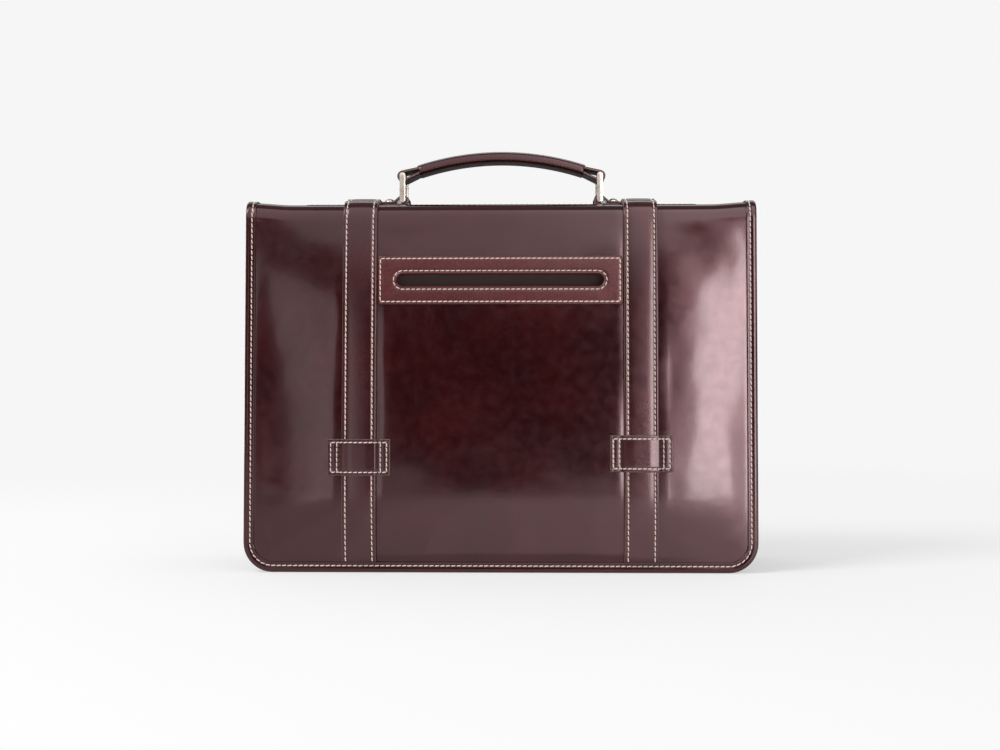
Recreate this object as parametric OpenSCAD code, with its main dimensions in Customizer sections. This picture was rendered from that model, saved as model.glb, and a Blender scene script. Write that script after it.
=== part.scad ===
// Leather satchel briefcase: bound panels on a folding gusset, a strapped flap and a top handle.
// Millimetres. X runs along the width, the rear face looks to -Y, the flap side to +Y, +Z is up.

/* [Case] */
// Width over the bound edges
body_w = 400; // [360:2:430]
// Height of the closed case, without its handle
body_h = 288; // [270:1:310]
// Depth over the two panels at the floor
base_d = 108; // [100:1:130]
// Depth over the two panels at the top
top_d = 88; // [84:1:100]
// Radius of the lower corners
corner_r = 23; // [18:1:30]
// Thickness of the shell leather
leather_t = 2.4; // [2:0.1:2.8]
// Width of the edge binding on the face of a panel
binding_w = 8.2; // [7:0.1:9]

/* [Straps] */
// Distance of each strap from the middle
strap_x = 109.5; // [100:0.5:120]
// Width of a strap
strap_w = 26.5; // [24:0.5:28]
// Thickness of a strap
strap_t = 3.2; // [3:0.1:3.3]
// Height of the keepers' middle above the floor
keeper_v = 91; // [70:1:120]
// How far the right keeper sits above the left one
keeper_step = 3; // [0:0.5:4]

/* [Rear pocket] */
// Length of the pocket slot
slot_w = 161; // [120:1:170]
// Height of the pocket slot
slot_h = 9.4; // [8:0.2:12]
// Height of the slot's middle above the floor
slot_v = 227.5; // [215:0.5:235]

/* [Handle] */
// Distance of each metal link from the middle
link_x = 79.5; // [70:0.5:85]
// Distance between the two bars of a link
link_h = 19.5; // [18:0.5:22]
// Height of the grip's arch
grip_rise = 10.7; // [8:0.1:14]
// Thickness of the grip
grip_t = 9.5; // [8.5:0.1:11]

/* [Flap] */
// Height of the flap's lower edge above the floor
flap_v = 115; // [110:1:130]

/* [Hidden] */
$fn = 48;

// Colours
shell_colour = [0.24, 0.07, 0.06];
strap_colour = [0.28, 0.08, 0.07];
edge_colour = [0.15, 0.05, 0.05];
lining_colour = [0.42, 0.33, 0.25];
metal_colour = [0.80, 0.76, 0.70];
board_colour = [0.35, 0.30, 0.26];

// Where the panels' middle lies, because the buckles stand out further than the keepers
centre_y = -5.6;

// Stack of the leather layers, outward from the panel's face
lean = atan((base_d - top_d) / 2 / body_h);
binding_t = 1.0;
under_w = 7.3;
flange_t = 1.5;
flap_gap = 2.4;
flap_out = flap_gap + leather_t;
facing_t = 1.8;
keeper_t = 2.2;
lining_t = 0.7;

// Folds where the leather turns over the shoulders
fold_r = 12;
fold_z = body_h - fold_r;
axis_in = 3;
wedge_r = 40;

// Gusset and base
gusset_in = 7.5;
gusset_t = 1.5;
gusset_mid_x = body_w / 2 - gusset_in - gusset_t / 2;
fold_depth = 17.5;
gusset_top_z = 272;
gusset_fold_z = 266;
corner_z = corner_r + 3;
board_t = 2;
divider_t = 2.4;
divider_z = 225;

// Pocket liner
liner_t = 0.8;
liner_deep = 8;
liner_w = 206;
liner_low_v = 70;
liner_top_v = 244;

// Top board, strip and handle
strip_t = 2;
strip_l = 313;
strip_w = 45;
strip_z = body_h + strip_t;
top_board_t = 3;
top_mid_y = (fold_y(flap_out) - fold_y(0)) / 2;
bar_r = 2.3;
run_gap = 0.1;
tab_t = 2.4;
tab_r = bar_r + run_gap + tab_t;
tab_w = 24;
low_bar_z = strip_z + tab_r + 0.1;
high_bar_z = low_bar_z + link_h;
rivet_x = link_x + 11.2;
rivet_gap = 12;
rivet_r = 1.8;
dome_r = 4.2;
tail_z = strip_z + 3.7;
grip_half = 67;
grip_w = 26;
grip_end_z = high_bar_z + 4.8;
grip_r = (pow(grip_half, 2) + pow(grip_rise, 2)) / (2 * grip_rise);
grip_mid_z = grip_end_z + grip_rise - grip_r;
grip_turn = asin(grip_half / grip_r);
core_r = 2.4;

// Buckles, in the front face's own height (v) and outward distance (w)
heel_v = 68;
heel_w = 5;
buckle_r = 2;
buckle_bar_x = 16.6;
buckle_len = 26.8;
buckle_tilt = 15.5;
buckle_bend = 3.5;
prong_r = 1.5;
prong_lift = [6.2, 8.9];
prong_tip = [28.5, 11.3];
buckle_tab_t = 1.6;
buckle_tab_w = 25;
tab_low_v = 24;
tip_v = 24;
loop_v = 47.5;
loop_h = 9;
snap_v = 33;
snap_r = 8;

// Shoulder-strap rings
ring_x = 186;
ring_z = 264;
ring_r = 1.7;
ring_in = 20;
ring_leg = 4;
ring_bend = 3;
ring_tab_w = 16;
ring_tab_t = 2.4;
ring_tab_z = 228;
ring_back = gusset_fold_x(ring_tab_z) + 3.6;
ring_rivet_z = ring_tab_z + 7;

// Depth position of the fold's centre, for leather whose outer face is w_out in front of the panel plane
function fold_y(w_out) = base_d / 2 + (w_out - fold_r) / cos(lean) - fold_z * tan(lean);
// Height on the face where that fold begins
function fold_v(w_out) = (fold_z - (w_out - fold_r) * sin(lean)) / cos(lean);
// Depth position of a plane that stands w in front of the panel plane, at height z
function face_y(w, z) = base_d / 2 + w / cos(lean) - z * tan(lean);
// Middle of the gusset's fold line at height z
function gusset_fold_x(z) =
    gusset_mid_x - fold_depth * (z - corner_z) / (gusset_fold_z - corner_z);

// ---- Frames and profiles ----

// Sets the case back, so that its footprint with the buckles is centred on the origin
module centred() {
    translate([0, centre_y, 0]) children();
}

// Children drawn in the rear face's frame: x across, y up the face, z outward
module rear_face() {
    translate([0, -base_d / 2, 0]) rotate([90 - lean, 0, 0]) children();
}

// The same frame on the front; x runs the other way
module front_face() {
    rotate([0, 0, 180]) rear_face() children();
}

// A profile in Y and Z, extruded along X
module along_x(width) {
    rotate([90, 0, 90]) linear_extrude(width, center = true) children();
}

// A profile in X and Z, extruded along Y
module along_y(width) {
    rotate([90, 0, 0]) linear_extrude(width, center = true) children();
}

// A plate from w_low to w_high in a face's frame
module plate(w_low, w_high) {
    translate([0, 0, w_low]) linear_extrude(w_high - w_low) children();
}

// Outline of a panel with round lower corners, drawn in by inset
module outline(inset, low, high) {
    r = corner_r - inset;
    half = body_w / 2 - inset;
    translate([-half, low + inset + r]) square([2 * half, high - low - inset - r]);
    translate([-half + r, low + inset]) square([2 * (half - r), r + 1]);
    for (side = [-1, 1])
        translate([side * (half - r), low + inset + r]) circle(r);
}

// Slot with round ends
module slot_2d(width, height) {
    square([width - height, height], center = true);
    for (side = [-1, 1])
        translate([side * (width - height) / 2, 0]) circle(height / 2);
}

module above_floor() {
    difference() {
        children();
        translate([-body_w, -body_w, -20]) cube([2 * body_w, 2 * body_w, 20]);
    }
}

// Folded strip that wraps the edge of leather lying from w_low to w_high
module binding(w_low, w_high, low, high) {
    plate(w_high, w_high + binding_t) difference() {
        outline(0, low, high);
        outline(binding_w, low, high + 1);
    }
    plate(w_low - binding_t, w_low) difference() {
        outline(0, low, high);
        outline(under_w, low, high + 1);
    }
    plate(w_low - binding_t / 2, w_high + binding_t / 2) difference() {
        outline(0, low, high);
        outline(binding_t, low, high + 1);
    }
}

// Quarter of a tube around the front fold's centre, from the face's normal to straight up
module fold_sector(w_out, r_low, r_high) {
    translate([fold_y(w_out), fold_z]) intersection() {
        difference() {
            circle(r_high);
            circle(r_low);
        }
        polygon([[0, 0], wedge_r * [cos(lean), sin(lean)], [wedge_r, wedge_r], [0, wedge_r]]);
    }
}

module leather_fold(w_out) {
    along_x(body_w - 2 * binding_t) fold_sector(w_out, fold_r - leather_t, fold_r);
}

module strap_folds(w_out) {
    for (side = [-1, 1])
        translate([side * strap_x, 0, 0])
            along_x(strap_w) fold_sector(w_out, fold_r, fold_r + strap_t);
}

module binding_folds(w_out, under) {
    for (side = [-1, 1]) {
        translate([side * (body_w - binding_w) / 2, 0, 0]) along_x(binding_w)
            fold_sector(w_out, fold_r, fold_r + binding_t);
        translate([side * (body_w - under_w) / 2, 0, 0]) along_x(under_w)
            fold_sector(w_out, fold_r - under - binding_t, fold_r - under);
        translate([side * (body_w - binding_t) / 2, 0, 0]) along_x(binding_t)
            fold_sector(w_out, fold_r - under - binding_t, fold_r + binding_t);
    }
}

// Mirror image in depth, from the front shoulder to the rear one
module to_rear() {
    mirror([0, 1, 0]) children();
}

// ---- Shell ----

module rear_panel() {
    color(shell_colour) rear_face() plate(-leather_t, 0) difference() {
        outline(binding_t, 0, fold_v(0));
        translate([0, slot_v]) slot_2d(slot_w, slot_h);
    }
}

module rear_binding() {
    color(edge_colour) above_floor() rear_face()
        binding(-leather_t - flange_t, 0, -0.3, fold_v(0));
}

module front_panel() {
    color(shell_colour) front_face() plate(-leather_t, 0)
        outline(binding_t, 0, gusset_top_z - 4);
}

module front_binding() {
    color(edge_colour) above_floor() front_face()
        binding(-leather_t - flange_t, 0, -0.3, gusset_top_z - 4);
}

// Room between the two turned edges' middles
module between_panels() {
    sewn_w = -leather_t - flange_t / 2;
    along_x(body_w) polygon([
        [-face_y(sewn_w, 0), 0], [face_y(sewn_w, 0), 0],
        [face_y(sewn_w, body_h), body_h], [-face_y(sewn_w, body_h), body_h]
    ]);
}

// Turned edge of the gusset, sewn to the panel inside the binding
module flanges() {
    module flange() {
        plate(-leather_t - flange_t, -leather_t) difference() {
            outline(binding_t, 0, gusset_top_z - 5);
            outline(gusset_in + gusset_t / 2, 0, gusset_top_z);
        }
    }
    rear_face() flange();
    front_face() flange();
}

// Thin three-cornered sheet
module sheet(corners) {
    hull() for (p = corners) translate(p) cube([gusset_t, 0.4, 0.4], center = true);
}

module gusset(side) {
    sewn_w = -leather_t - flange_t / 2;
    fold_low = [side * gusset_mid_x, 0, corner_z];
    fold_top = [side * (gusset_mid_x - fold_depth), 0, gusset_fold_z];
    color(shell_colour) {
        difference() {
            for (face = [-1, 1]) {
                high_z = gusset_top_z - 5;
                low = [side * gusset_mid_x, face * face_y(sewn_w, corner_z), corner_z];
                top = [side * gusset_mid_x, face * face_y(sewn_w, high_z), high_z];
                sheet([low, top, fold_top]);
                sheet([low, fold_top, fold_low]);
            }
            ring_rivet_hole(side);
        }
        intersection() {
            flanges();
            translate([side > 0 ? 100 : -300, -100, corner_z]) cube([200, 200, body_h]);
        }
    }
}

module base_panel() {
    color(shell_colour) intersection() {
        union() {
            flanges();
            intersection() {
                between_panels();
                along_y(base_d) difference() {
                    outline(gusset_in, 0, corner_z + 2);
                    outline(gusset_in + gusset_t, 0, corner_z + 4);
                }
            }
        }
        translate([-body_w, -body_w, 0]) cube([2 * body_w, 2 * body_w, corner_z - 0.25]);
    }
}

module base_board() {
    color(board_colour) translate([0, 0, gusset_in + gusset_t + board_t / 2])
        cube([2 * (body_w / 2 - corner_r - 4), base_d - 16, board_t], center = true);
}

module divider() {
    foot = gusset_in + gusset_t + board_t + 0.3;
    slim = gusset_t / 2 + 0.5;
    color(lining_colour) along_y(divider_t) polygon([
        [-(gusset_mid_x - 18), foot], [gusset_mid_x - 18, foot],
        [gusset_mid_x - slim - 1.5, corner_z + 4],
        [gusset_fold_x(divider_z) - slim, divider_z],
        [-gusset_fold_x(divider_z) + slim, divider_z],
        [-(gusset_mid_x - slim - 1.5), corner_z + 4]
    ]);
}

// ---- Rear pocket ----

module pocket_facing() {
    color(strap_colour) rear_face() translate([0, slot_v, 0]) plate(0, facing_t) difference() {
        square([2 * strap_x - strap_w - 1.4, 38], center = true);
        slot_2d(slot_w, slot_h);
    }
}

module pocket_liner() {
    color(lining_colour) rear_face() difference() {
        translate([-liner_w / 2, liner_low_v, -leather_t - liner_deep - liner_t])
            cube([liner_w, liner_top_v - liner_low_v, liner_deep + liner_t]);
        translate([-liner_w / 2 + liner_t, liner_low_v + liner_t, -leather_t - liner_deep])
            cube([liner_w - 2 * liner_t, liner_top_v - liner_low_v - 2 * liner_t, liner_deep + 1]);
    }
}

// ---- Straps and keepers ----

module strap_rear(side) {
    low = binding_w + 0.2;
    color(strap_colour) rear_face() plate(0, strap_t)
        translate([side * strap_x - strap_w / 2, low]) square([strap_w, fold_v(0) - low]);
}

// Flat loop that bridges the strap, sewn down on both sides
module keeper(side) {
    half = 24.5;
    height = 28.5;
    rise = strap_t + 0.2;
    step = strap_w / 2 + 1;
    color(strap_colour) rear_face()
        translate([side * strap_x, keeper_v + side * keeper_step / 2, 0])
            rotate([90, 0, 0]) linear_extrude(height, center = true) polygon([
                [-half, 0], [-step - 2, 0], [-step, rise], [step, rise], [step + 2, 0], [half, 0],
                [half, keeper_t], [step + 3, keeper_t], [step + 1, rise + keeper_t],
                [-step - 1, rise + keeper_t], [-step - 3, keeper_t], [-half, keeper_t]
            ]);
}

module strap_top(side) {
    edge = strip_w / 2;
    ramp = 3;
    rear_end = -fold_y(0);
    front_end = fold_y(flap_out);
    color(strap_colour) translate([side * strap_x, 0, body_h]) along_x(strap_w) polygon([
        [rear_end, 0], [top_mid_y - edge - ramp, 0], [top_mid_y - edge, strip_t],
        [top_mid_y + edge, strip_t], [top_mid_y + edge + ramp, 0], [front_end, 0],
        [front_end, strap_t], [top_mid_y + edge + ramp, strap_t],
        [top_mid_y + edge, strip_t + strap_t],
        [top_mid_y - edge, strip_t + strap_t], [top_mid_y - edge - ramp, strap_t],
        [rear_end, strap_t]
    ]);
}

// The buckled strap: over the flap, behind the buckle's far bar, in front of its heel bar
module strap_front(side) {
    lower = flap_out + 1.2;
    over = heel_w + buckle_r + run_gap + buckle_tab_t + 0.2;
    tip_w = heel_w + 1.8;
    punched = 5;
    route = [
        [fold_v(flap_out), flap_out], [flap_v + 12, flap_out], [flap_v + 9, lower],
        [heel_v + 27, lower], [heel_v + 4, over], [heel_v - 6, over],
        [heel_v - 15, tip_w], [tip_v, tip_w]
    ];
    outer = [for (i = [len(route) - 1:-1:0]) route[i] + [0, strap_t]];
    color(strap_colour) front_face() translate([-side * strap_x, 0, 0]) difference() {
        intersection() {
            along_x(strap_w) polygon(concat(route, outer));
            translate([0, 0, -1]) linear_extrude(30) polygon([
                [-strap_w / 2, tip_v + 12], [0, tip_v], [strap_w / 2, tip_v + 12],
                [strap_w / 2, body_h], [-strap_w / 2, body_h]
            ]);
        }
        // Slot that the prong stands in, and the spare holes
        translate([0, heel_v + 2.4, 0]) rotate([0, 0, 90]) linear_extrude(30) slot_2d(10.4, 4.6);
        for (v = [heel_v - 13, heel_v - 23])
            translate([0, v, 0]) cylinder(h = 30, d = punched);
    }
}

// ---- Top section ----

module top_panel() {
    color(shell_colour) difference() {
        translate([-body_w / 2 + binding_t, -fold_y(0), body_h - leather_t])
            cube([body_w - 2 * binding_t, fold_y(0) + fold_y(flap_out), leather_t]);
        rivet_holes();
    }
}

module top_binding() {
    length = fold_y(0) + fold_y(flap_out);
    color(edge_colour) for (side = [-1, 1])
        translate([side * body_w / 2, -fold_y(0) + length / 2, body_h])
            along_y(length) for (z = [0, -leather_t - binding_t]) {
                translate([side > 0 ? -binding_w : 0, z]) square([binding_w, binding_t]);
                translate([side > 0 ? -binding_t : 0, -leather_t - binding_t])
                    square([binding_t, leather_t + 2 * binding_t]);
            }
}

module top_board() {
    color(board_colour) difference() {
        translate([0, top_mid_y, body_h - leather_t - top_board_t / 2])
            cube([strip_l, strip_w, top_board_t], center = true);
        rivet_holes();
    }
}

module top_strip() {
    color(strap_colour) difference() {
        translate([0, top_mid_y, body_h]) linear_extrude(strip_t)
            square([strip_l, strip_w], center = true);
        rivet_holes();
    }
}

module at_rivets() {
    for (side = [-1, 1], row = [-1, 1])
        translate([side * rivet_x, top_mid_y + row * rivet_gap / 2, 0]) children();
}

module rivet_holes() {
    at_rivets() translate([0, 0, body_h - 20]) cylinder(h = 40, r = rivet_r + 0.05);
}

module handle_rivets() {
    foot_z = body_h - leather_t - top_board_t;
    color(metal_colour) at_rivets() {
        translate([0, 0, foot_z - 0.8]) cylinder(h = 0.8, r = dome_r);
        translate([0, 0, foot_z - 0.4]) cylinder(h = tail_z - foot_z + 0.9, r = rivet_r);
        translate([0, 0, tail_z]) intersection() {
            translate([0, 0, -1.6]) sphere(r = dome_r + 0.4);
            cylinder(h = 10, r = dome_r - 0.1);
        }
    }
}

// ---- Handle ----

// Leather tab wrapped round a link's lower bar and riveted down outboard of it
module handle_tab(side) {
    color(strap_colour) translate([0, top_mid_y, 0]) difference() {
        along_y(tab_w) scale([side, 1]) {
            translate([link_x, low_bar_z]) circle(tab_r);
            polygon([
                [link_x, low_bar_z - tab_r + 0.02], [rivet_x + 5, strip_z + 0.02],
                [rivet_x + 5, tail_z], [rivet_x - 4.6, tail_z],
                [link_x + 3.6, low_bar_z + 3.2], [link_x, low_bar_z + 3]
            ]);
        }
        translate([side * link_x, 0, low_bar_z]) rotate([90, 0, 0])
            cylinder(h = tab_w + 2, r = bar_r + run_gap, center = true);
        translate([0, -top_mid_y, 0]) rivet_holes();
    }
}

// Metal link: two round bars joined by two flat side plates
module link(side) {
    plate_t = 3.2;
    color(metal_colour) translate([side * link_x, top_mid_y, low_bar_z]) {
        for (z = [0, link_h]) translate([0, 0, z]) rotate([90, 0, 0])
            cylinder(h = tab_w + 1.4, r = bar_r, center = true);
        for (end = [-1, 1]) translate([0, end * (tab_w / 2 + 0.5 + plate_t / 2), 0])
            along_y(plate_t) {
                translate([-bar_r, 0]) square([2 * bar_r, link_h]);
                circle(bar_r);
                translate([0, link_h]) circle(bar_r);
            }
    }
}

// Sweep of a profile along the grip's arch
module along_grip(turn) {
    translate([0, top_mid_y, grip_mid_z]) rotate([90, 0, 0]) rotate([0, 0, 90 - turn])
        rotate_extrude(angle = 2 * turn) translate([grip_r, 0]) children();
}

module handle_grip() {
    color(strap_colour) {
        difference() {
            along_grip(grip_turn) rotate([0, 0, 90]) slot_2d(grip_w, grip_t);
            along_grip(grip_turn - 0.5) circle(core_r);
        }
        for (side = [-1, 1]) translate([0, top_mid_y, 0]) difference() {
            along_y(tab_w) scale([side, 1]) grip_end_2d();
            translate([side * link_x, 0, high_bar_z]) rotate([90, 0, 0])
                cylinder(h = tab_w + 2, r = bar_r + run_gap, center = true);
        }
    }
}

// Two leather layers that leave the grip's end and close round the link's upper bar
module grip_end_2d() {
    join = [grip_half + 1.4, grip_end_z];
    difference() {
        union() {
            translate([link_x, high_bar_z]) circle(tab_r);
            polygon([
                join + [-1.2, 3.4], join + [-1.2, -3.4],
                [link_x - 2.4, high_bar_z - 4.1], [link_x + 1.4, high_bar_z + 4.5]
            ]);
        }
        polygon([
            join + [2.6, -0.2], [link_x - 1.5, high_bar_z - 1.9], [link_x - 0.9, high_bar_z + 2.2]
        ]);
    }
}

module handle_core() {
    color(board_colour) along_grip(grip_turn - 0.7) circle(core_r - 0.05);
}

// ---- Flap ----

module flap_panel() {
    color(shell_colour) front_face() plate(flap_gap, flap_out)
        outline(binding_t, flap_v, fold_v(flap_out));
}

module flap_lining() {
    color(lining_colour) front_face() plate(flap_gap - lining_t, flap_gap)
        outline(binding_w + 0.3, flap_v, fold_v(flap_out));
}

module flap_binding() {
    color(edge_colour) front_face() binding(flap_gap, flap_out, flap_v, fold_v(flap_out));
}

// ---- Buckles and snaps ----

// Children in the frame of one buckle: origin on the heel bar, y up the face, z outward
module at_heel(side) {
    front_face() translate([-side * strap_x, heel_v, heel_w]) children();
}

module buckle_tab(side) {
    layers = 2 * buckle_tab_t;
    back = flap_gap + 0.9 - heel_w;
    color(strap_colour) at_heel(side) difference() {
        along_x(buckle_tab_w) {
            circle(buckle_r + run_gap + buckle_tab_t);
            translate([tab_low_v - heel_v, back]) square([heel_v - tab_low_v, layers]);
        }
        rotate([0, 90, 0]) cylinder(h = 40, r = buckle_r + run_gap, center = true);
        translate([-3, -3.4, -6]) cube([6, 12, 12]);
    }
}

module strap_loop(side) {
    inner = [28.4, 7.2];
    wall = 1.5;
    color(strap_colour) front_face() translate([-side * strap_x, loop_v, 6.7])
        along_y(loop_h) difference() {
            square(inner + 2 * [wall, wall], center = true);
            square(inner, center = true);
        }
}

module snap_sockets() {
    color(metal_colour) for (side = [-1, 1])
        front_face() translate([side * strap_x, snap_v, 0]) difference() {
            cylinder(h = 2.2, r = snap_r);
            translate([0, 0, -1]) cylinder(h = 5, r = 2.9);
        }
}

module snap_studs() {
    color(metal_colour) for (side = [-1, 1])
        front_face() translate([side * strap_x, snap_v, 0]) {
            translate([0, 0, flap_gap + 0.1]) cylinder(h = 0.8, r = snap_r - 1);
            translate([0, 0, 1.3]) cylinder(h = flap_gap - 0.8, r = 2);
        }
}

// Rounded rectangular ring of round wire in the XY plane, its lower bar along X through the origin
module wire_ring(half_x, height, wire, bend) {
    for (y = [0, height]) translate([0, y, 0]) rotate([0, 90, 0])
        cylinder(h = 2 * (half_x - bend), r = wire, center = true);
    for (side = [-1, 1]) {
        translate([side * half_x, bend, 0]) rotate([-90, 0, 0])
            cylinder(h = height - 2 * bend, r = wire);
        for (end = [0, 1])
            translate([side * (half_x - bend), end ? height - bend : bend, 0])
                rotate([0, 0, end ? (side > 0 ? 0 : 90) : (side > 0 ? 270 : 180)])
                    rotate_extrude(angle = 90) translate([bend, 0]) circle(wire);
    }
}

module buckle(side) {
    color(metal_colour) at_heel(side) rotate([buckle_tilt, 0, 0])
        wire_ring(buckle_bar_x, buckle_len, buckle_r, buckle_bend);
}

// Round bar between two points of the YZ plane
module bar_between(from, to, r) {
    step = to - from;
    translate([0, from.x, from.y]) rotate([atan2(step.y, step.x) - 90, 0, 0])
        cylinder(h = norm(step), r = r);
}

module prong(side) {
    color(metal_colour) at_heel(side) difference() {
        union() {
            rotate([0, 90, 0]) cylinder(h = 4, r = buckle_r + 1.4, center = true);
            bar_between([0, 0], prong_lift, prong_r);
            translate([0, prong_lift.x, prong_lift.y]) sphere(prong_r + 0.1);
            bar_between(prong_lift, prong_tip, prong_r);
            translate([0, prong_tip.x, prong_tip.y]) sphere(prong_r + 0.1);
        }
        rotate([0, 90, 0]) cylinder(h = 10, r = buckle_r + run_gap, center = true);
    }
}

// ---- Shoulder-strap rings ----

module ring_tab(side) {
    loop_r = ring_r + run_gap + 1.8;
    front = ring_back + ring_tab_t;
    color(strap_colour) difference() {
        along_y(ring_tab_w) scale([side, 1]) {
            translate([ring_x, ring_z]) circle(loop_r);
            polygon([
                [ring_back, ring_tab_z], [front, ring_tab_z], [front, ring_z - 7],
                [ring_x - 2.4, ring_z - 2.4], [ring_x, ring_z + loop_r - 0.02],
                [ring_back, ring_z + loop_r - 2.2]
            ]);
        }
        translate([side * ring_x, 0, ring_z]) rotate([90, 0, 0])
            cylinder(h = 40, r = ring_r + run_gap, center = true);
        ring_rivet_hole(side);
    }
}

module ring_rivet_hole(side) {
    translate([side * ring_x, 0, ring_rivet_z]) rotate([0, 90, 0])
        cylinder(h = 40, r = rivet_r + 0.05, center = true);
}

// Rivets that hold the ring tabs to the gussets' folds
module ring_rivets() {
    foot = gusset_fold_x(ring_rivet_z + 3.5) - gusset_t / 2 - 1;
    front = ring_back + ring_tab_t;
    color(metal_colour) for (side = [-1, 1])
        translate([0, 0, ring_rivet_z]) rotate([0, side * 90, 0]) {
            translate([0, 0, foot]) cylinder(h = 0.8, r = 3.5);
            translate([0, 0, foot]) cylinder(h = front - foot + 0.5, r = rivet_r);
            translate([0, 0, front]) intersection() {
                translate([0, 0, -2.4]) sphere(r = 4.2);
                cylinder(h = 5, r = 3.4);
            }
        }
}

// D-ring that hangs from its straight bar
module d_ring(side) {
    half = ring_in / 2 + ring_r;
    drop = ring_bend + ring_leg;
    color(metal_colour) translate([side * ring_x, 0, ring_z]) rotate([90, 0, 90]) {
        rotate([0, 90, 0]) cylinder(h = 2 * (half - ring_bend), r = ring_r, center = true);
        for (end = [-1, 1]) {
            translate([end * (half - ring_bend), -ring_bend, 0]) rotate([0, 0, end > 0 ? 0 : 90])
                rotate_extrude(angle = 90) translate([ring_bend, 0]) circle(ring_r);
            translate([end * half, -drop, 0]) rotate([-90, 0, 0])
                cylinder(h = ring_leg, r = ring_r);
        }
        translate([0, -drop, 0]) rotate([0, 0, 180])
            rotate_extrude(angle = 180) translate([half, 0]) circle(ring_r);
    }
}

// ---- One line per node ----

centred() rear_panel();
centred() rear_binding();
centred() pocket_facing();
centred() pocket_liner();
centred() strap_rear(-1);  // strap_rear_left
centred() strap_rear(1);  // strap_rear_right
centred() keeper(-1);  // keeper_left
centred() keeper(1);  // keeper_right
centred() gusset(-1);  // gusset_left
centred() gusset(1);  // gusset_right
centred() base_panel();
centred() base_board();
centred() front_panel();
centred() front_binding();
centred() divider();
centred() snap_sockets();
centred() ring_tab(-1);  // ring_tab_left
centred() ring_tab(1);  // ring_tab_right
centred() ring_rivets();
centred() color(shell_colour) to_rear() leather_fold(0);  // rear_fold
centred() color(strap_colour) to_rear() strap_folds(0);  // rear_strap_folds
centred() color(edge_colour) to_rear() binding_folds(0, leather_t);  // rear_binding_folds
centred() top_panel();
centred() top_binding();
centred() top_board();
centred() top_strip();
centred() strap_top(-1);  // strap_top_left
centred() strap_top(1);  // strap_top_right
centred() handle_tab(-1);  // handle_tab_left
centred() handle_tab(1);  // handle_tab_right
centred() handle_rivets();
centred() color(shell_colour) leather_fold(flap_out);  // front_fold
centred() color(strap_colour) strap_folds(flap_out);  // front_strap_folds
centred() color(edge_colour) binding_folds(flap_out, leather_t);  // front_binding_folds
centred() flap_panel();
centred() flap_lining();
centred() flap_binding();
centred() strap_front(-1);  // strap_front_left
centred() strap_front(1);  // strap_front_right
centred() buckle_tab(-1);  // buckle_tab_left
centred() buckle_tab(1);  // buckle_tab_right
centred() strap_loop(-1);  // strap_loop_left
centred() strap_loop(1);  // strap_loop_right
centred() snap_studs();
centred() buckle(-1);  // buckle_left
centred() buckle(1);  // buckle_right
centred() prong(-1);  // prong_left
centred() prong(1);  // prong_right
centred() link(-1);  // link_left
centred() link(1);  // link_right
centred() handle_grip();
centred() handle_core();
centred() d_ring(-1);  // d_ring_left
centred() d_ring(1);  // d_ring_right
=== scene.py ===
"""Oxblood leather briefcase: bound and stitched shell, straps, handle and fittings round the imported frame.

Lengths are millimetres until add() makes a mesh. A point on the shell is (u, s, w): across the case,
along the leather from the rear's lower edge over both folds to the flap's edge, and outward from it.
"""

import math

import bmesh
import bpy
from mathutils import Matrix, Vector, noise


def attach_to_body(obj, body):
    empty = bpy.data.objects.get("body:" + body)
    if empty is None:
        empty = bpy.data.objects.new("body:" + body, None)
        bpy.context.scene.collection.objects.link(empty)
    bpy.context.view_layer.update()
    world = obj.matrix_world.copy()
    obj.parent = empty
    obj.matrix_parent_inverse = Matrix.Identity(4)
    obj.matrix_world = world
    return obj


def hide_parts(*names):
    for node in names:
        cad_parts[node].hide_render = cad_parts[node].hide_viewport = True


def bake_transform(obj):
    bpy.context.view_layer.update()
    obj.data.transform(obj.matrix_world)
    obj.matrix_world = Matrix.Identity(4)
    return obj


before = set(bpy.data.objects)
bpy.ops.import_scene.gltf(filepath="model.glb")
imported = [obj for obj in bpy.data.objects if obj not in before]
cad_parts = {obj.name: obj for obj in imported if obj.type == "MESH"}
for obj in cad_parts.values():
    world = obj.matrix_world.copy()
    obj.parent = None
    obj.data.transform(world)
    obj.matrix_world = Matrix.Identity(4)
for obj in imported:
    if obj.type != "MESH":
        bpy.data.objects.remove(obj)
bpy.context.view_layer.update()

MM = 0.001
SIDES = ((-1, "left"), (1, "right"))

# ---- Sizes of the frame ----
CENTRE_Y = -5.6
HALF_W = 200.0
BODY_H = 288.0
BASE_HALF = 54.0
LEAN = math.atan(10 / BODY_H)
SIN, COS, TAN = math.sin(LEAN), math.cos(LEAN), math.tan(LEAN)
CORNER_R = 23.0
LEATHER = 2.4
FLAP_OUT = 4.8
FLAP_V = 115.0
FRONT_TOP_V = 268.0
FOLD_R = 12.0
FOLD_Z = BODY_H - FOLD_R
EDGE_LOW = 0.2
TUCK = 1.0
STRAP_X = 109.5
STRAP_HALF = 13.25
STRAP_T = 3.2
STRAP_SEAM = 2.9
SLOT_V = 227.5
SLOT_HALF = 80.5
SLOT_R = 4.7
BINDING = 8.2
BINDING_SEAM = 5.2
UNDER = 7.3
STRIP_HALF = (156.5, 22.5)
STRIP_T = 2.0
STRIP_Z = BODY_H + STRIP_T


def fold_y(w_out):
    """Depth of a fold's centre from the case's middle."""
    return BASE_HALF + (w_out - FOLD_R) / COS - FOLD_Z * TAN


def fold_v(w_out):
    """Height on the face at which that fold begins."""
    return (FOLD_Z - (w_out - FOLD_R) * SIN) / COS


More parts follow.
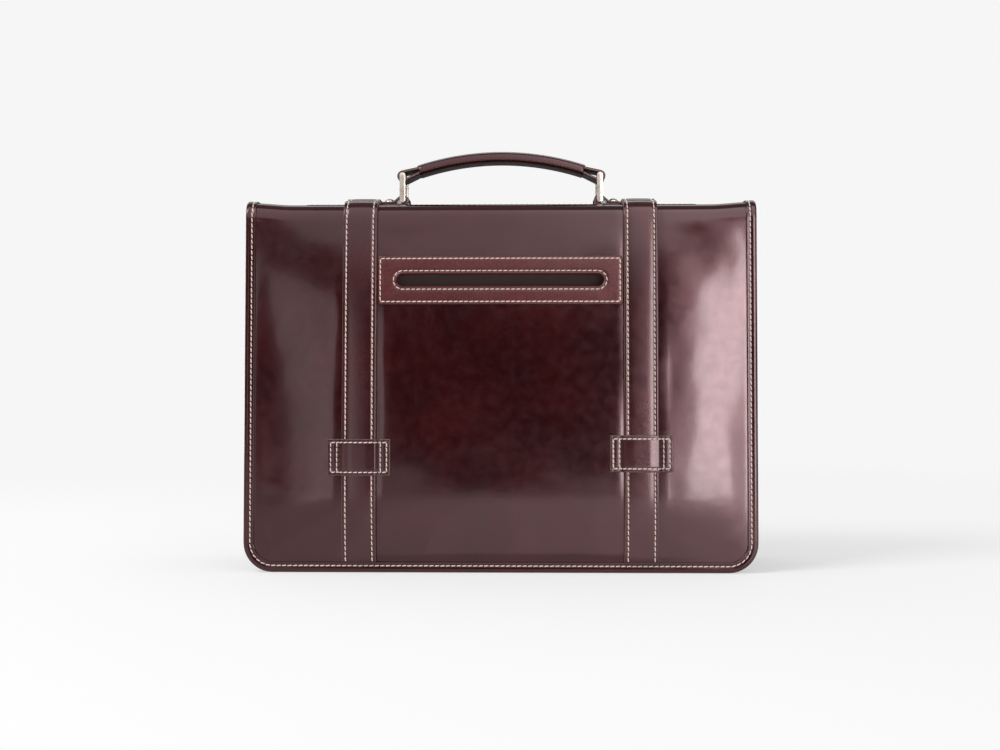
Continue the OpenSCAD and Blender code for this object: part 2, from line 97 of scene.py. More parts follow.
REAR_Y = CENTRE_Y - fold_y(0)
FRONT_Y = CENTRE_Y + fold_y(FLAP_OUT)
TOP_Y = (REAR_Y + FRONT_Y) / 2
ARC = FOLD_R * (math.pi / 2 - LEAN)
S_REAR = fold_v(0)
S_TOP = S_REAR + ARC
S_MID = S_TOP + (FRONT_Y - REAR_Y) / 2
S_TOP_END = S_TOP + FRONT_Y - REAR_Y
S_FRONT = S_TOP_END + ARC


def flap_s(v):
    """Place along the leather of a height on the flap's face."""
    return S_FRONT + fold_v(FLAP_OUT) - v


def flap_height(s):
    return S_FRONT + fold_v(FLAP_OUT) - s


def rear(u, v, w):
    return Vector((u, CENTRE_Y - BASE_HALF + v * SIN - w * COS, v * COS + w * SIN))


def front(u, v, w):
    return Vector((u, CENTRE_Y + BASE_HALF - v * SIN + w * COS, v * COS + w * SIN))


def shell(u, s, w):
    """Point of the leather that runs up the rear, over the top and down the flap."""
    if s <= S_REAR:
        return rear(u, s, w)
    if s <= S_TOP:
        angle = LEAN + (s - S_REAR) / FOLD_R
        reach = FOLD_R + w
        return Vector((u, REAR_Y - math.cos(angle) * reach, FOLD_Z + math.sin(angle) * reach))
    if s <= S_TOP_END:
        return Vector((u, REAR_Y + s - S_TOP, BODY_H + w))
    if s <= S_FRONT:
        angle = math.pi / 2 - (s - S_TOP_END) / FOLD_R
        reach = FOLD_R + w
        return Vector((u, FRONT_Y + math.cos(angle) * reach, FOLD_Z + math.sin(angle) * reach))
    return front(u, flap_height(s), FLAP_OUT + w)


# ---- Small helpers ----

def clamp(x, low=0.0, high=1.0):
    return max(low, min(high, x))


def ease(x):
    x = clamp(x)
    return x * x * (3 - 2 * x)


def bell(x, middle, width):
    return math.exp(-((x - middle) / width) ** 2)


def spread(low, high, step):
    """Evenly spaced numbers from low to high, about step apart."""
    count = max(1, round(abs(high - low) / step))
    return [low + (high - low) * i / count for i in range(count + 1)]


def merge(*lists):
    """All the numbers in order, without near repeats."""
    found = []
    for x in sorted(x for numbers in lists for x in numbers):
        if not found or x - found[-1] > 1e-4:
            found.append(x)
    return found


def wander(u, s, size, seed):
    """Smooth unevenness of a given wavelength, from about -1 to 1."""
    return noise.noise(Vector((u / size, s / size, seed)))


def near_edges(half, seam, step):
    """Columns across a strap, closer together at its edges and along its seams."""
    close = [0, 0.12, 0.4, 0.8, 1.4, seam - 0.9, seam - 0.4, seam, seam + 0.4, seam + 0.9]
    sides = [x for d in close for x in (d - half, half - d)]
    return merge(sides, spread(seam + 1.6 - half, half - seam - 1.6, step))


def edge_drop(d, r):
    """How far a rounded edge of radius r falls away at distance d from the edge."""
    d = clamp(d, 0, r)
    return r - math.sqrt(r * r - (r - d) ** 2)


# ---- Materials ----

def start(name, **fixed):
    """New material: its tree, its shader and the object's own coordinates."""
    material = bpy.data.materials.new(name)
    material.use_nodes = True
    tree = material.node_tree
    shader = tree.nodes["Principled BSDF"]
    for socket, value in fixed.items():
        shader.inputs[socket.replace("_", " ")].default_value = value
    where = tree.nodes.new("ShaderNodeTexCoord").outputs["Object"]
    return material, tree, shader, where


def add_node(tree, kind, links=None, settings=None, **fixed):
    """New node with its own settings, fixed values on its inputs, and links from other nodes' outputs."""
    node = tree.nodes.new("ShaderNode" + kind)
    for name, value in (settings or {}).items():
        setattr(node, name, value)
    for name, value in fixed.items():
        node.inputs[name.replace("_", " ")].default_value = value
    for name, output in (links or {}).items():
        tree.links.new(output, node.inputs[name])
    return node


def cloud(tree, where, scale, detail=3.0, rough=0.55, distortion=0.0):
    """Soft cloudy noise, 0 to 1."""
    node = add_node(tree, "TexNoise", {"Vector": where},
                    Scale=scale, Detail=detail, Roughness=rough, Distortion=distortion)
    return node.outputs["Fac"]


def cells(tree, where, scale):
    """Distance from the edges of small cells."""
    node = add_node(tree, "TexVoronoi", {"Vector": where}, {"feature": "DISTANCE_TO_EDGE"}, Scale=scale)
    return node.outputs["Distance"]


def calc(tree, kind, a, b):
    """Arithmetic on two values, each a number or another node's output."""
    node = add_node(tree, "Math", settings={"operation": kind})
    for socket, value in zip(node.inputs, (a, b)):
        if isinstance(value, (int, float)):
            socket.default_value = value
        else:
            tree.links.new(value, socket)
    return node.outputs[0]


def ramp(tree, factor, *stops):
    """Colours by place along a value from 0 to 1."""
    node = add_node(tree, "ValToRGB", {"Fac": factor})
    marks = node.color_ramp.elements
    while len(marks) < len(stops):
        marks.new(0.5)
    for mark, (place, colour) in zip(marks, stops):
        mark.position = place
        mark.color = (*colour, 1)
    return node.outputs["Color"]


def scaled(tree, value, low, high, start_at=0.3, end_at=0.7):
    """A value between start_at and end_at, brought to run from low to high."""
    node = add_node(tree, "MapRange", {"Value": value},
                    From_Min=start_at, From_Max=end_at, To_Min=low, To_Max=high)
    return node.outputs["Result"]


def bump(tree, height, distance, strength=1.0, under=None):
    """Relief from a height, on top of the relief under it if there is one."""
    links = {"Height": height}
    if under is not None:
        links["Normal"] = under
    return add_node(tree, "Bump", links, Distance=distance, Strength=strength).outputs["Normal"]


def finish(tree, shader, colour=None, rough=None, relief=None):
    """Links a material's colour, roughness and relief to its shader."""
    for name, output in (("Base Color", colour), ("Roughness", rough), ("Normal", relief)):
        if output is not None:
            tree.links.new(output, shader.inputs[name])


GLAZE_TINT = (1.0, 0.58, 0.62, 1)
# Edge paint: a real burnished-edge colour, lightened so that it also carries a painted highlight along
# rounded edges.
EDGE_PAINT_AND_HIGHLIGHT_TONES = (0.09, 0.03, 0.027), (0.20, 0.085, 0.07)
SUEDE_TONES = (0.12, 0.055, 0.035), (0.22, 0.115, 0.075)
NICKEL_TONES = (0.52, 0.45, 0.40), (0.60, 0.53, 0.47)
WAVES_PER_THREAD = 0.314


def leather(name, dark, light, rough=0.17, coat=0.38, polish=0.08, grain=1.0, mottle=0.45, shine=0.5):
    """Glazed leather: cloudy dye, fine mottling and pores, soft creases, and a polished coat."""
    material, tree, shader, where = start(
        name, Coat_Weight=coat, Coat_Roughness=polish, Coat_IOR=1.5, IOR=1.5,
        Specular_Tint=GLAZE_TINT, Specular_IOR_Level=shine)
    dye = calc(tree, "MULTIPLY", cloud(tree, where, 16, 3), 1 - mottle)
    specks = calc(tree, "MULTIPLY", cloud(tree, where, 620, 5, 0.7), mottle)
    colour = ramp(tree, calc(tree, "ADD", dye, specks), (0.4, dark), (0.6, light))
    uneven = scaled(tree, cloud(tree, where, 130, 4), rough - 0.04, rough + 0.04)
    waves = bump(tree, cloud(tree, where, 38, 2), 0.00010 * grain, 0.6)
    creases = bump(tree, cloud(tree, where, 420, 5, 0.6, 0.6), 0.000016 * grain, 0.6, waves)
    pores = bump(tree, cells(tree, where, 1100), 0.00002 * grain, 0.6, creases)
    finish(tree, shader, colour, uneven, pores)
    tree.links.new(creases, shader.inputs["Coat Normal"])
    return material


def edge_paint_and_highlight(name):
    """Burnished cut edge of the leather, with faint layers along it; its light tone is partly a painted
    highlight, the light line that rounded edges catch.
    """
    material, tree, shader, where = start(name, Coat_Weight=0.1, Coat_Roughness=0.3)
    fibres = cloud(tree, where, 900, 3)
    finish(tree, shader, ramp(tree, fibres, (0.3, EDGE_PAINT_AND_HIGHLIGHT_TONES[0]), (0.7, EDGE_PAINT_AND_HIGHLIGHT_TONES[1])),
           scaled(tree, fibres, 0.38, 0.55), bump(tree, fibres, 0.0001, 0.5))
    return material


def suede(name):
    """Flesh side of the leather, with a short nap."""
    material, tree, shader, where = start(name, Sheen_Weight=0.4, Sheen_Roughness=0.5)
    nap = cloud(tree, where, 700, 6, 0.7)
    broad = cloud(tree, where, 22, 3)
    tone = calc(tree, "ADD", calc(tree, "MULTIPLY", nap, 0.5), calc(tree, "MULTIPLY", broad, 0.5))
    finish(tree, shader, ramp(tree, tone, (0.35, SUEDE_TONES[0]), (0.65, SUEDE_TONES[1])),
           scaled(tree, nap, 0.8, 0.95), bump(tree, nap, 0.0002, 0.7))
    return material


def woven(name, dark, light, threads=1300.0):
    """Cotton drill: two sets of threads, slubs, and a little fading."""
    material, tree, shader, where = start(name, Sheen_Weight=0.25, Sheen_Roughness=0.6)
    sets = []
    for direction, tilt in (("X", 0.5), ("Z", -0.5)):
        turned = add_node(tree, "Mapping", {"Vector": where}, Rotation=(0.3, tilt, 0.2))
        wave = add_node(tree, "TexWave", {"Vector": turned.outputs[0]}, {"bands_direction": direction},
                        Scale=threads * WAVES_PER_THREAD, Distortion=0.6, Detail=1.0)
        sets.append(wave.outputs["Fac"])
    weave = calc(tree, "MAXIMUM", *sets)
    slubs = cloud(tree, where, 160, 3)
    tone = calc(tree, "ADD", calc(tree, "MULTIPLY", weave, 0.45), calc(tree, "MULTIPLY", slubs, 0.55))
    finish(tree, shader, ramp(tree, tone, (0.25, dark), (0.8, light)),
           scaled(tree, slubs, 0.75, 0.92), bump(tree, weave, 0.00018, 0.8))
    return material


def waxed_thread(name, dark, light):
    """Waxed thread with its fine twist."""
    material, tree, shader, where = start(name, Sheen_Weight=0.2)
    twist = cloud(tree, where, 2600, 2, 0.6, 0.4)
    finish(tree, shader, ramp(tree, twist, (0.3, dark), (0.7, light)),
           scaled(tree, twist, 0.45, 0.65), bump(tree, twist, 0.0001, 0.6))
    return material


def satin_metal(name):
    """Champagne nickel: warm, brushed, with faint handling marks."""
    material, tree, shader, where = start(name, Metallic=1.0, Coat_Weight=0.15, Coat_Roughness=0.1)
    marks = cloud(tree, where, 90, 5, 0.6)
    grain = cloud(tree, where, 2200, 2)
    finish(tree, shader, ramp(tree, marks, (0.3, NICKEL_TONES[0]), (0.7, NICKEL_TONES[1])),
           scaled(tree, marks, 0.24, 0.34), bump(tree, grain, 0.000004, 0.3))
    return material


SHELL = leather("shell_leather", (0.016, 0.0012, 0.0018), (0.038, 0.0032, 0.0038))
STRAP = leather("strap_leather", (0.018, 0.0014, 0.0020), (0.040, 0.0038, 0.0046), rough=0.22, polish=0.14)
BIND = leather("binding_leather", (0.016, 0.0012, 0.0018), (0.036, 0.0034, 0.0044),
               polish=0.14, grain=1.3)
FACING = leather("pocket_leather", (0.028, 0.0020, 0.0022), (0.095, 0.010, 0.0090),
                 rough=0.32, coat=0.3, polish=0.2, grain=2.2, mottle=0.85)
UNDERSIDE = leather("grip_underside", (0.014, 0.0016, 0.002), (0.032, 0.0045, 0.005),
                    rough=0.6, coat=0.0, polish=0.4, shine=0.05)
POCKET = woven("pocket_cloth", (0.022, 0.005, 0.005), (0.060, 0.016, 0.014), 1500.0)
LINING = woven("lining_cloth", (0.17, 0.115, 0.07), (0.36, 0.27, 0.18))
BOARD = woven("board_cloth", (0.10, 0.075, 0.055), (0.21, 0.16, 0.12), 1000.0)
# Edge paint on every cut edge and rim, partly a painted highlight in its light tone.
EDGE = edge_paint_and_highlight("edge_paint_and_highlight")
SUEDE = suede("leather_back")
THREAD = waxed_thread("waxed_thread", (0.74, 0.58, 0.48), (1.0, 0.87, 0.78))
DARK_THREAD = waxed_thread("oxblood_thread", (0.03, 0.006, 0.007), (0.07, 0.016, 0.016))
METAL = satin_metal("satin_nickel")


# ---- Making meshes ----

def add(name, points, faces, materials, marks=None, sharp=38):
    """Mesh piece from points in millimetres; marks give each face its material."""
    mesh = bpy.data.meshes.new(name)
    mesh.from_pydata([p * MM for p in points], [], faces)
    for material in materials:
        mesh.materials.append(material)
    if marks:
        mesh.polygons.foreach_set("material_index", marks)
    shape = bmesh.new()
    shape.from_mesh(mesh)
    bmesh.ops.recalc_face_normals(shape, faces=shape.faces)
    shape.to_mesh(mesh)
    shape.free()
    mesh.polygons.foreach_set("use_smooth", [True] * len(mesh.polygons))
    mesh.set_sharp_from_angle(angle=math.radians(sharp))
    obj = bpy.data.objects.new(name, mesh)
    bpy.context.scene.collection.objects.link(obj)
    return obj


FOLDS = {
    "rear_fold": ("case", "top", rear(0, S_REAR, 0), shell(0, S_TOP, 0)),
    "front_fold": ("top", "flap", shell(0, S_TOP_END, 0), shell(0, S_FRONT, 0)),
}


def attach(obj, carrier, slot, *nodes):
    """Parents a piece to the body that carries it, or only bakes its placement into its mesh where the
    carrier is a fold, and hides the imported parts that it stands for. Its slot is not used.
    """
    if carrier in FOLDS:
        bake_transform(obj)
    else:
        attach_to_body(obj, carrier)
    if nodes:
        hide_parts(*nodes)
    return obj


def sheet(name, cols, rows, place, top, bottom, materials, cut=(), closed=False, edging=(0, 0)):
    """Closed piece of leather or cloth. place(u, s, w) gives points; top and bottom give w at (u, s).

    Each cut is (u, s, half_u, half_s, shape): its cells are left out, and its rim is drawn to shape.
    A closed piece's last row joins its first. The edging is how many outer columns and rows of the
    top take the second material; the rim takes it too, and the underside the third if there is one.
    """
    wide, long = len(cols), len(rows)
    spots = []
    for s in rows:
        for u in cols:
            at = (u, s)
            for (cu, cs, hu, hs, shape) in cut:
                du, ds = u - cu, s - cs
                inside = abs(du) < hu + 1e-3 and abs(ds) < hs + 1e-3
                if inside and shape:
                    at = shape(du, ds)
            spots.append(at)
    points = [place(u, s, top(u, s)) for u, s in spots]
    points += [place(u, s, bottom(u, s)) for u, s in spots]
    lower = len(spots)
    faces, marks, edges = [], [], {}
    steps = range(long if closed else long - 1)
    for j in steps:
        for i in range(wide - 1):
            mid_u = (cols[i] + cols[i + 1]) / 2
            mid_s = (rows[j] + rows[(j + 1) % long]) / 2
            if any(abs(mid_u - cu) < hu and abs(mid_s - cs) < hs for cu, cs, hu, hs, _ in cut):
                continue
            k = (j + 1) % long
            ring = [j * wide + i, j * wide + i + 1, k * wide + i + 1, k * wide + i]
            trim = min(i, wide - 2 - i) < edging[0] or min(j, long - 2 - j) < edging[1]
            faces.append(ring)
            marks.append(1 if trim else 0)
            faces.append([lower + x for x in reversed(ring)])
            marks.append(2 if len(materials) > 2 else 0)
            for a, b in zip(ring, ring[1:] + ring[:1]):
                if (b, a) in edges:
                    del edges[(b, a)]
                else:
                    edges[(a, b)] = True
    for a, b in edges:
        faces.append([b, a, lower + a, lower + b])
        marks.append(min(1, len(materials) - 1))
    obj = add(name, points, faces, materials, marks)
    drop_loose(obj)
    return obj


def drop_loose(obj):
    """Removes points that no face uses."""
    shape = bmesh.new()
    shape.from_mesh(obj.data)
    loose = [v for v in shape.verts if not v.link_faces]
    bmesh.ops.delete(shape, geom=loose, context="VERTS")
    shape.to_mesh(obj.data)
    shape.free()


def sweep(name, stations, profile, place, materials, marks, sharp=38):
    """Closed strip: the profile's (a, w) points drawn at each (u, s, inward u, inward s) station."""
    points, faces, painted = [], [], []
    count = len(profile(0))
    for k, (u, s, iu, is_) in enumerate(stations):
        points += [place(u + a * iu, s + a * is_, w) for a, w in profile(k)]
    for k in range(len(stations) - 1):
        for i in range(count):
            j = (i + 1) % count
            faces.append([k * count + i, k * count + j, (k + 1) * count + j, (k + 1) * count + i])
            painted.append(marks[i] if marks else 0)
    last = (len(stations) - 1) * count
    faces += [list(range(count)), [last + i for i in range(count)]]
    painted += [0, 0]
    return add(name, points, faces, materials, painted, sharp)


STITCH_PITCH = 4.25
STITCH_LENGTH = 3.7
STITCH_R = 0.43
STITCH_RINGS = [(-1.0, -0.4, 0.75), (-0.7, 0.14, 0.97), (0.0, 0.24, 1.0), (0.7, 0.14, 0.97),
                (1.0, -0.4, 0.75)]
STITCH_SIDES = 6
STITCH_SLANT = math.radians(7)


def seam_points(place, height, spots):
    """Points and outward directions of a seam whose (u, s) course lies on a surface."""
    found = []
    for u, s in spots:
        w = height(u, s)
        low, high = place(u, s, w), place(u, s, w + 1)
        found.append((low, (high - low).normalized()))
    return found


def stitches(name, courses, carrier, pitch=STITCH_PITCH, thread=None):
    """Rows of single stitches, each a slightly slanted thread that dips into the leather at its ends."""
    points, faces = [], []
    for course in courses:
        gaps = [(b[0] - a[0]).length for a, b in zip(course, course[1:])]
        total = sum(gaps)
        count = max(1, round(total / pitch))
        step = total / count
        leg, done = 0, 0.0
        for k in range(count):
            goal = (k + 0.5) * step
            while leg < len(gaps) - 1 and done + gaps[leg] < goal:
                done += gaps[leg]
                leg += 1
            share = (goal - done) / gaps[leg]
            (a, normal_a), (b, normal_b) = course[leg], course[leg + 1]
            middle = a.lerp(b, share)
            normal = normal_a.lerp(normal_b, share).normalized()
            along = (b - a).normalized()
            side = normal.cross(along).normalized()
            along = along * math.cos(STITCH_SLANT) + side * math.sin(STITCH_SLANT)
            side = normal.cross(along).normalized()
            half = min(STITCH_LENGTH, step * 0.87) / 2
            first = len(points)
            for reach, lift, girth in STITCH_RINGS:
                centre = middle + along * (reach * half) + normal * lift
                for n in range(STITCH_SIDES):
                    turn = 2 * math.pi * n / STITCH_SIDES
                    offset = side * math.cos(turn) + normal * math.sin(turn)
                    points.append(centre + offset * (STITCH_R * girth))
            for ring in range(len(STITCH_RINGS) - 1):
                for n in range(STITCH_SIDES):
                    m = (n + 1) % STITCH_SIDES
                    base = first + ring * STITCH_SIDES
                    faces.append([base + n, base + m, base + STITCH_SIDES + m, base + STITCH_SIDES + n])
            end = first + (len(STITCH_RINGS) - 1) * STITCH_SIDES
            faces.append([first + n for n in range(STITCH_SIDES)])
            faces.append([end + n for n in range(STITCH_SIDES)])
    return attach(add(name, points, faces, [thread or THREAD], sharp=70), carrier, "thread")


# ---- How the leather sits ----

BELLY = 7.0
BELLY_LOW = 9.0
BELLY_PEAK = 0.19
FRONT_BELLY = 2.2
SEWN_U = 191.5
EAR_RISE = 1.8


def side_pull(u):
    """How freely the leather moves at u: fully at the middle, not at all where the binding holds it."""
    return 1 - clamp(abs(u) / SEWN_U) ** 2.5


def ear(u, s):
    """The bound corners stand a little proud of the top."""
    along = ease((s - S_REAR + 3) / 22) * ease((S_FRONT + 3 - s) / 22)
    return EAR_RISE * ease((abs(u) - 164) / 32) * along


def belly(u, s):
    """Outward fullness of the rear leather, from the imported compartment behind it."""
    up = clamp((s - BELLY_LOW) / (S_REAR + 10 - BELLY_LOW))
    below = up < BELLY_PEAK
    reach = (up - BELLY_PEAK) / (BELLY_PEAK if below else 1 - BELLY_PEAK)
    lift = 1 - abs(reach) ** (2.1 if below else 2.6)
    calm = ease((S_TOP - s) / (S_TOP - S_REAR + 4))
    return BELLY * side_pull(u) * lift * calm if s < S_TOP else 0.0


def front_belly(u, s):
    """The flap and the panel under it are fuller between the straps and nearly flat at the buckles."""
    v = flap_height(s)
    up = clamp((v - 10) / (fold_v(FLAP_OUT) - 16))
    lift = math.sin(math.pi * up) ** 0.8 if 0 < up < 1 else 0.0
    straps = 1 - ease((30 - abs(abs(u) - STRAP_X)) / 20)
    return FRONT_BELLY * side_pull(u) * lift * straps


def rise(u, s):
    """How far the leather stands out at (u, s). Everything that lies on the shell follows this."""
    if s < S_MID:
        return belly(u, s) + ear(u, s)
    return front_belly(u, s) * (s > S_FRONT) + ear(u, s)


def on_shell(u, s, w):
    return shell(u, s, w + rise(u, s))


def on_front(u, v, w):
    return front(u, v, w + front_belly(u, flap_s(v)))


def free_leather(u, s, low, high):
    """1 where the leather is free, 0 at the binding, the folds and the straps."""
    sides = ease((190 - abs(u)) / 16)
    ends = ease((s - low) / 16) * ease((high - s) / 16)
    straps = ease((abs(abs(u) - STRAP_X) - STRAP_HALF) / 9)
    return sides * ends * straps


def soft_fold(u, s, a, b, width, height):
    """A shallow ridge in the leather from a to b, fading out at its ends."""
    du, ds = b[0] - a[0], b[1] - a[1]
    along = ((u - a[0]) * du + (s - a[1]) * ds) / (du * du + ds * ds)
    near = clamp(along)
    gap = math.hypot(u - a[0] - near * du, s - a[1] - near * ds)
    return height * math.exp(-(gap / width) ** 2) * math.sin(math.pi * clamp(0.15 + 0.7 * near))


# Faint creases and dimples of the rear: from, to, width, height.
REAR_FOLDS = [
    ((-189, 70), (-164, 64), 2.6, 0.13),
    ((-187, 63), (-170, 60), 2.4, -0.10),
    ((-188, 52), (-172, 47), 3, 0.10),
    ((-187, 27), (-160, 13), 3.5, 0.20),
    ((-190, 38), (-178, 19), 3, 0.18),
    ((-180, 34), (-166, 21), 3, -0.14),
    ((188, 22), (162, 12), 5, -0.24),
    ((187, 33), (170, 16), 3.5, 0.20),
    ((190, 46), (180, 26), 4, -0.18),
    ((-60, 50), (50, 60), 26, 0.3),
    ((-70, 150), (-40, 100), 20, -0.3),
]


def rear_folds(u, s):
    return sum(soft_fold(u, s, *fold) for fold in REAR_FOLDS) * free_leather(u, s, 6, S_REAR - 2)


def unevenness(u, s, low, high, seed):
    """Slow waviness of free leather, and the hollow that a strap presses into it."""
    broad = 0.42 * wander(u, s, 62, seed) + 0.13 * wander(u, s, 24, seed + 5)
    press = 0.55 * ease((STRAP_HALF + 0.5 - abs(abs(u) - STRAP_X)) / 3)
    return broad * free_leather(u, s, low, high) - press


def half_width(height, inset):
    """Half the width of a bound panel, height above its lower edge."""
    r = CORNER_R - inset
    drop = clamp(r - (height - inset), 0, r)
    return HALF_W - inset - r + math.sqrt(r * r - drop * drop)


# ---- Panels ----

PANEL_HALF = 199.0
PANEL_COLS = merge(
    [x / PANEL_HALF for x in (-198.4, -192, -190.5, -188, -185, 185, 188, 190.5, 192, 198.4)],
    [-1, 1], [-82.5 / PANEL_HALF, 82.5 / PANEL_HALF], [x / PANEL_HALF for x in spread(-181, 181, 4.6)])
SKIN = [SHELL, EDGE, SUEDE]
ROUND_ROWS = merge(spread(EDGE_LOW + TUCK, 12, 1.8), spread(12, 26, 2.3))


def panel(name, rows, place, lower_edge, uneven, thick, materials, cut=(), inset=TUCK):
    """Bound panel whose columns narrow into the round lower corners.

    lower_edge(s) is a row's height above the panel's edge.
    """
    def spread_out(c, s, w):
        return place(c * half_width(lower_edge(s), inset), s, w)

    def top(c, s):
        return uneven(c * PANEL_HALF, s)

    def bottom(c, s):
        return uneven(c * PANEL_HALF, s) - thick

    return sheet(name, PANEL_COLS, rows, spread_out, top, bottom, materials, cut)


def rear_skin():
    """One sheet of leather from the rear's lower edge to the middle of the top, with the slot in it."""
    rows = merge(ROUND_ROWS, spread(26, 221, 4.6), [221, 227.5, 234], spread(234, 268, 4.6),
                 spread(268, S_TOP, 1.7), spread(S_TOP, S_MID, 4.4))
    slot = [(0, SLOT_V, 82.6 / PANEL_HALF, 6.6, None)]
    skin = panel("rear_skin", rows, on_shell, lambda s: s - EDGE_LOW,
                 lambda u, s: unevenness(u, s, 9, S_REAR - 2, 1.3) + rear_folds(u, s),
                 LEATHER, SKIN, slot)
    attach(skin, "rear_fold", "shell_leather", "rear_panel", "rear_fold", "top_panel")


def flap_skin():
    """The same leather from the middle of the top down to the flap's edge."""
    low = flap_s(FLAP_V + TUCK)
    rows = merge(spread(S_MID, S_TOP_END, 4.4), spread(S_TOP_END, S_FRONT + 6, 1.7),
                 spread(S_FRONT + 6, low - 26, 4.6), spread(low - 26, low - 10, 2.3),
                 spread(low - 10, low, 1.8))
    skin = panel("flap_skin", rows, on_shell, lambda s: flap_height(s) - FLAP_V,
                 lambda u, s: unevenness(u, s, S_FRONT + 2, flap_s(FLAP_V + 9), 7.7), LEATHER, SKIN)
    attach(skin, "front_fold", "shell_leather", "flap_panel", "front_fold")


def flap_inside():
    """Cloth lining glued to the inside of the flap."""
    low = flap_s(FLAP_V + BINDING + 0.3)
    rows = merge(spread(S_FRONT, low - 16, 6), spread(low - 16, low, 2))
    cloth = panel("flap_lining_cloth", rows, on_shell, lambda s: flap_height(s) - FLAP_V,
                  lambda u, s: -LEATHER - 0.02, 0.68, [SUEDE, LINING, LINING], inset=BINDING + 0.3)
    attach(cloth, "flap", "lining", "flap_lining")


def front_skin():
    """Front panel under the flap, flatter than the rear."""
    def uneven(u, v):
        free = ease((190 - abs(u)) / 16) * ease((v - 9) / 16) * ease((112 - v) / 12)
        return 0.25 * wander(u, v, 50, 3.1) * free * ease((abs(abs(u) - STRAP_X) - 14) / 9)

    rows = merge(ROUND_ROWS, spread(26, FRONT_TOP_V, 5))
    skin = panel("front_skin", rows, on_front, lambda v: v - EDGE_LOW, uneven, LEATHER, SKIN)
    attach(skin, "case", "shell_leather", "front_panel")


# ---- Bindings ----

def bound_course(top_s, low, sign=1):
    """Course of a panel's edge, from the left end round the lower corners to the right end.

    Each station is (u, s, inward u, inward s). s runs down the face where sign is -1.
    """
    r = CORNER_R
    side = spread(top_s, low + sign * r, 4)
    stations = [(-HALF_W, s, 1, 0) for s in side]
    corner = [math.pi / 2 * k / 10 for k in range(1, 11)]
    for a in corner:
        stations.append((-HALF_W + r - r * math.cos(a), low + sign * r * (1 - math.sin(a)),
                         math.cos(a), sign * math.sin(a)))
    for u in spread(-HALF_W + r, HALF_W - r, 5)[1:]:
        stations.append((u, low, 0, sign))
    for a in reversed(corner[:-1]):
        stations.append((HALF_W - r + r * math.cos(a), low + sign * r * (1 - math.sin(a)),
                         -math.cos(a), sign * math.sin(a)))
    stations += [(HALF_W, s, -1, 0) for s in reversed(side)]
    return stations


def dense(stations, low, high):
    """The same course with its stations close together where it turns over a fold."""
    found = []
    for a, b in zip(stations, stations[1:]):
        found.append(a)
        if abs(a[1] - b[1]) > 2 and a[0] == b[0] and low < (a[1] + b[1]) / 2 < high:
            found.append(tuple((x + y) / 2 for x, y in zip(a, b)))
    return found + [stations[-1]]


def binding_height(a):
    """Top of the binding over the panel at a from its outer edge: rounded, dipped at the seam."""
    if a < 1.6:
        return 1.25 - 1.1 * (1 - a / 1.6) ** 2
    return 1.25 - 0.4 * bell(a, BINDING_SEAM, 0.8) - 0.12 * (a - 1.6) / 6.6


def binding_profile(depth, under):
    """C-shaped section round the leather's edge, down to depth below its face."""
    face = [0.0, 0.3, 0.8, 1.6, 3.0, 4.1, 4.8, BINDING_SEAM, 5.6, 6.3, 7.2, BINDING - 0.35]
    outside = [(a, binding_height(a)) for a in face]
    lip = [(BINDING, 0.7), (BINDING + 0.05, 0.1), (BINDING - 0.4, -0.15)]
    inside = [(TUCK - 0.1, -0.15), (TUCK - 0.1, -depth + 0.15), (under, -depth + 0.15)]
    back = [(under, -depth - 0.8), (under - 0.4, -depth - 1), (1.4, -depth - 1), (0.5, -depth - 0.6),
            (0, -depth)]
    return outside + lip + inside + back


def binding(name, stations, place, depth_at, carrier, *nodes):
    """Binding along a course, pleated a little where it turns the corners."""
    def profile(k):
        u, s, iu, is_ = stations[k]
        turning = abs(iu * is_) * 2
        pleat = 0.16 * turning * math.sin(8 * math.atan2(abs(is_), abs(iu)) * 3)
        shape = binding_profile(depth_at(s), UNDER)
        return [(a, w + pleat * bell(a, 5.5, 3) if w > 0 else w) for a, w in shape]

    strip = sweep(name, stations, profile, place, [BIND, EDGE], None, 50)
    return attach(strip, carrier, "binding_leather", *nodes)


def edge_seam(stations, place):
    """Seam along a binding."""
    spots = [(u + BINDING_SEAM * iu, s + BINDING_SEAM * is_) for u, s, iu, is_ in stations]
    return seam_points(place, lambda u, s: binding_height(BINDING_SEAM), spots)


def bindings():
    """Bindings and their seams round the rear, the flap and the front panel."""
    thick_edge = LEATHER + 1.5
    course = dense(bound_course(S_MID, EDGE_LOW), S_REAR - 4, S_TOP + 2)
    binding("rear_edge_binding", course, on_shell,
            lambda s: thick_edge - 1.5 * ease((s - 262) / 10), "rear_fold",
            "rear_binding", "rear_binding_folds", "top_binding")
    stitches("rear_edge_stitches", [edge_seam(course, on_shell)], "rear_fold")
    course = dense(bound_course(S_MID, flap_s(FLAP_V), -1), S_TOP_END - 2, S_FRONT + 4)
    binding("flap_edge_binding", course, on_shell, lambda s: LEATHER, "front_fold",
            "flap_binding", "front_binding_folds")
    stitches("flap_edge_stitches", [edge_seam(course, on_shell)], "front_fold")
    course = bound_course(FRONT_TOP_V, EDGE_LOW)
    binding("front_edge_binding", course, on_front, lambda v: thick_edge, "case", "front_binding")
    stitches("front_edge_stitches", [edge_seam(course, on_front)], "case")


# ---- Straps ----

def strap_height(u):
    """Top of a strap across its width: rounded edges, seams pulled in, a low crown between them."""
    d = STRAP_HALF - abs(u)
    crown = 0.24 * clamp(1 - (u / STRAP_HALF) ** 2)
    return STRAP_T - edge_drop(d, 0.9) - 0.38 * bell(d, STRAP_SEAM, 0.55) + crown * ease((d - STRAP_SEAM) / 3)


def strip_lift(s):
    """A strap climbs over the strip along the top."""
    edge = STRIP_HALF[1] + 1.5
    return (STRIP_T + 1.2) * ease((edge + 4 - abs(s - S_MID)) / 7)


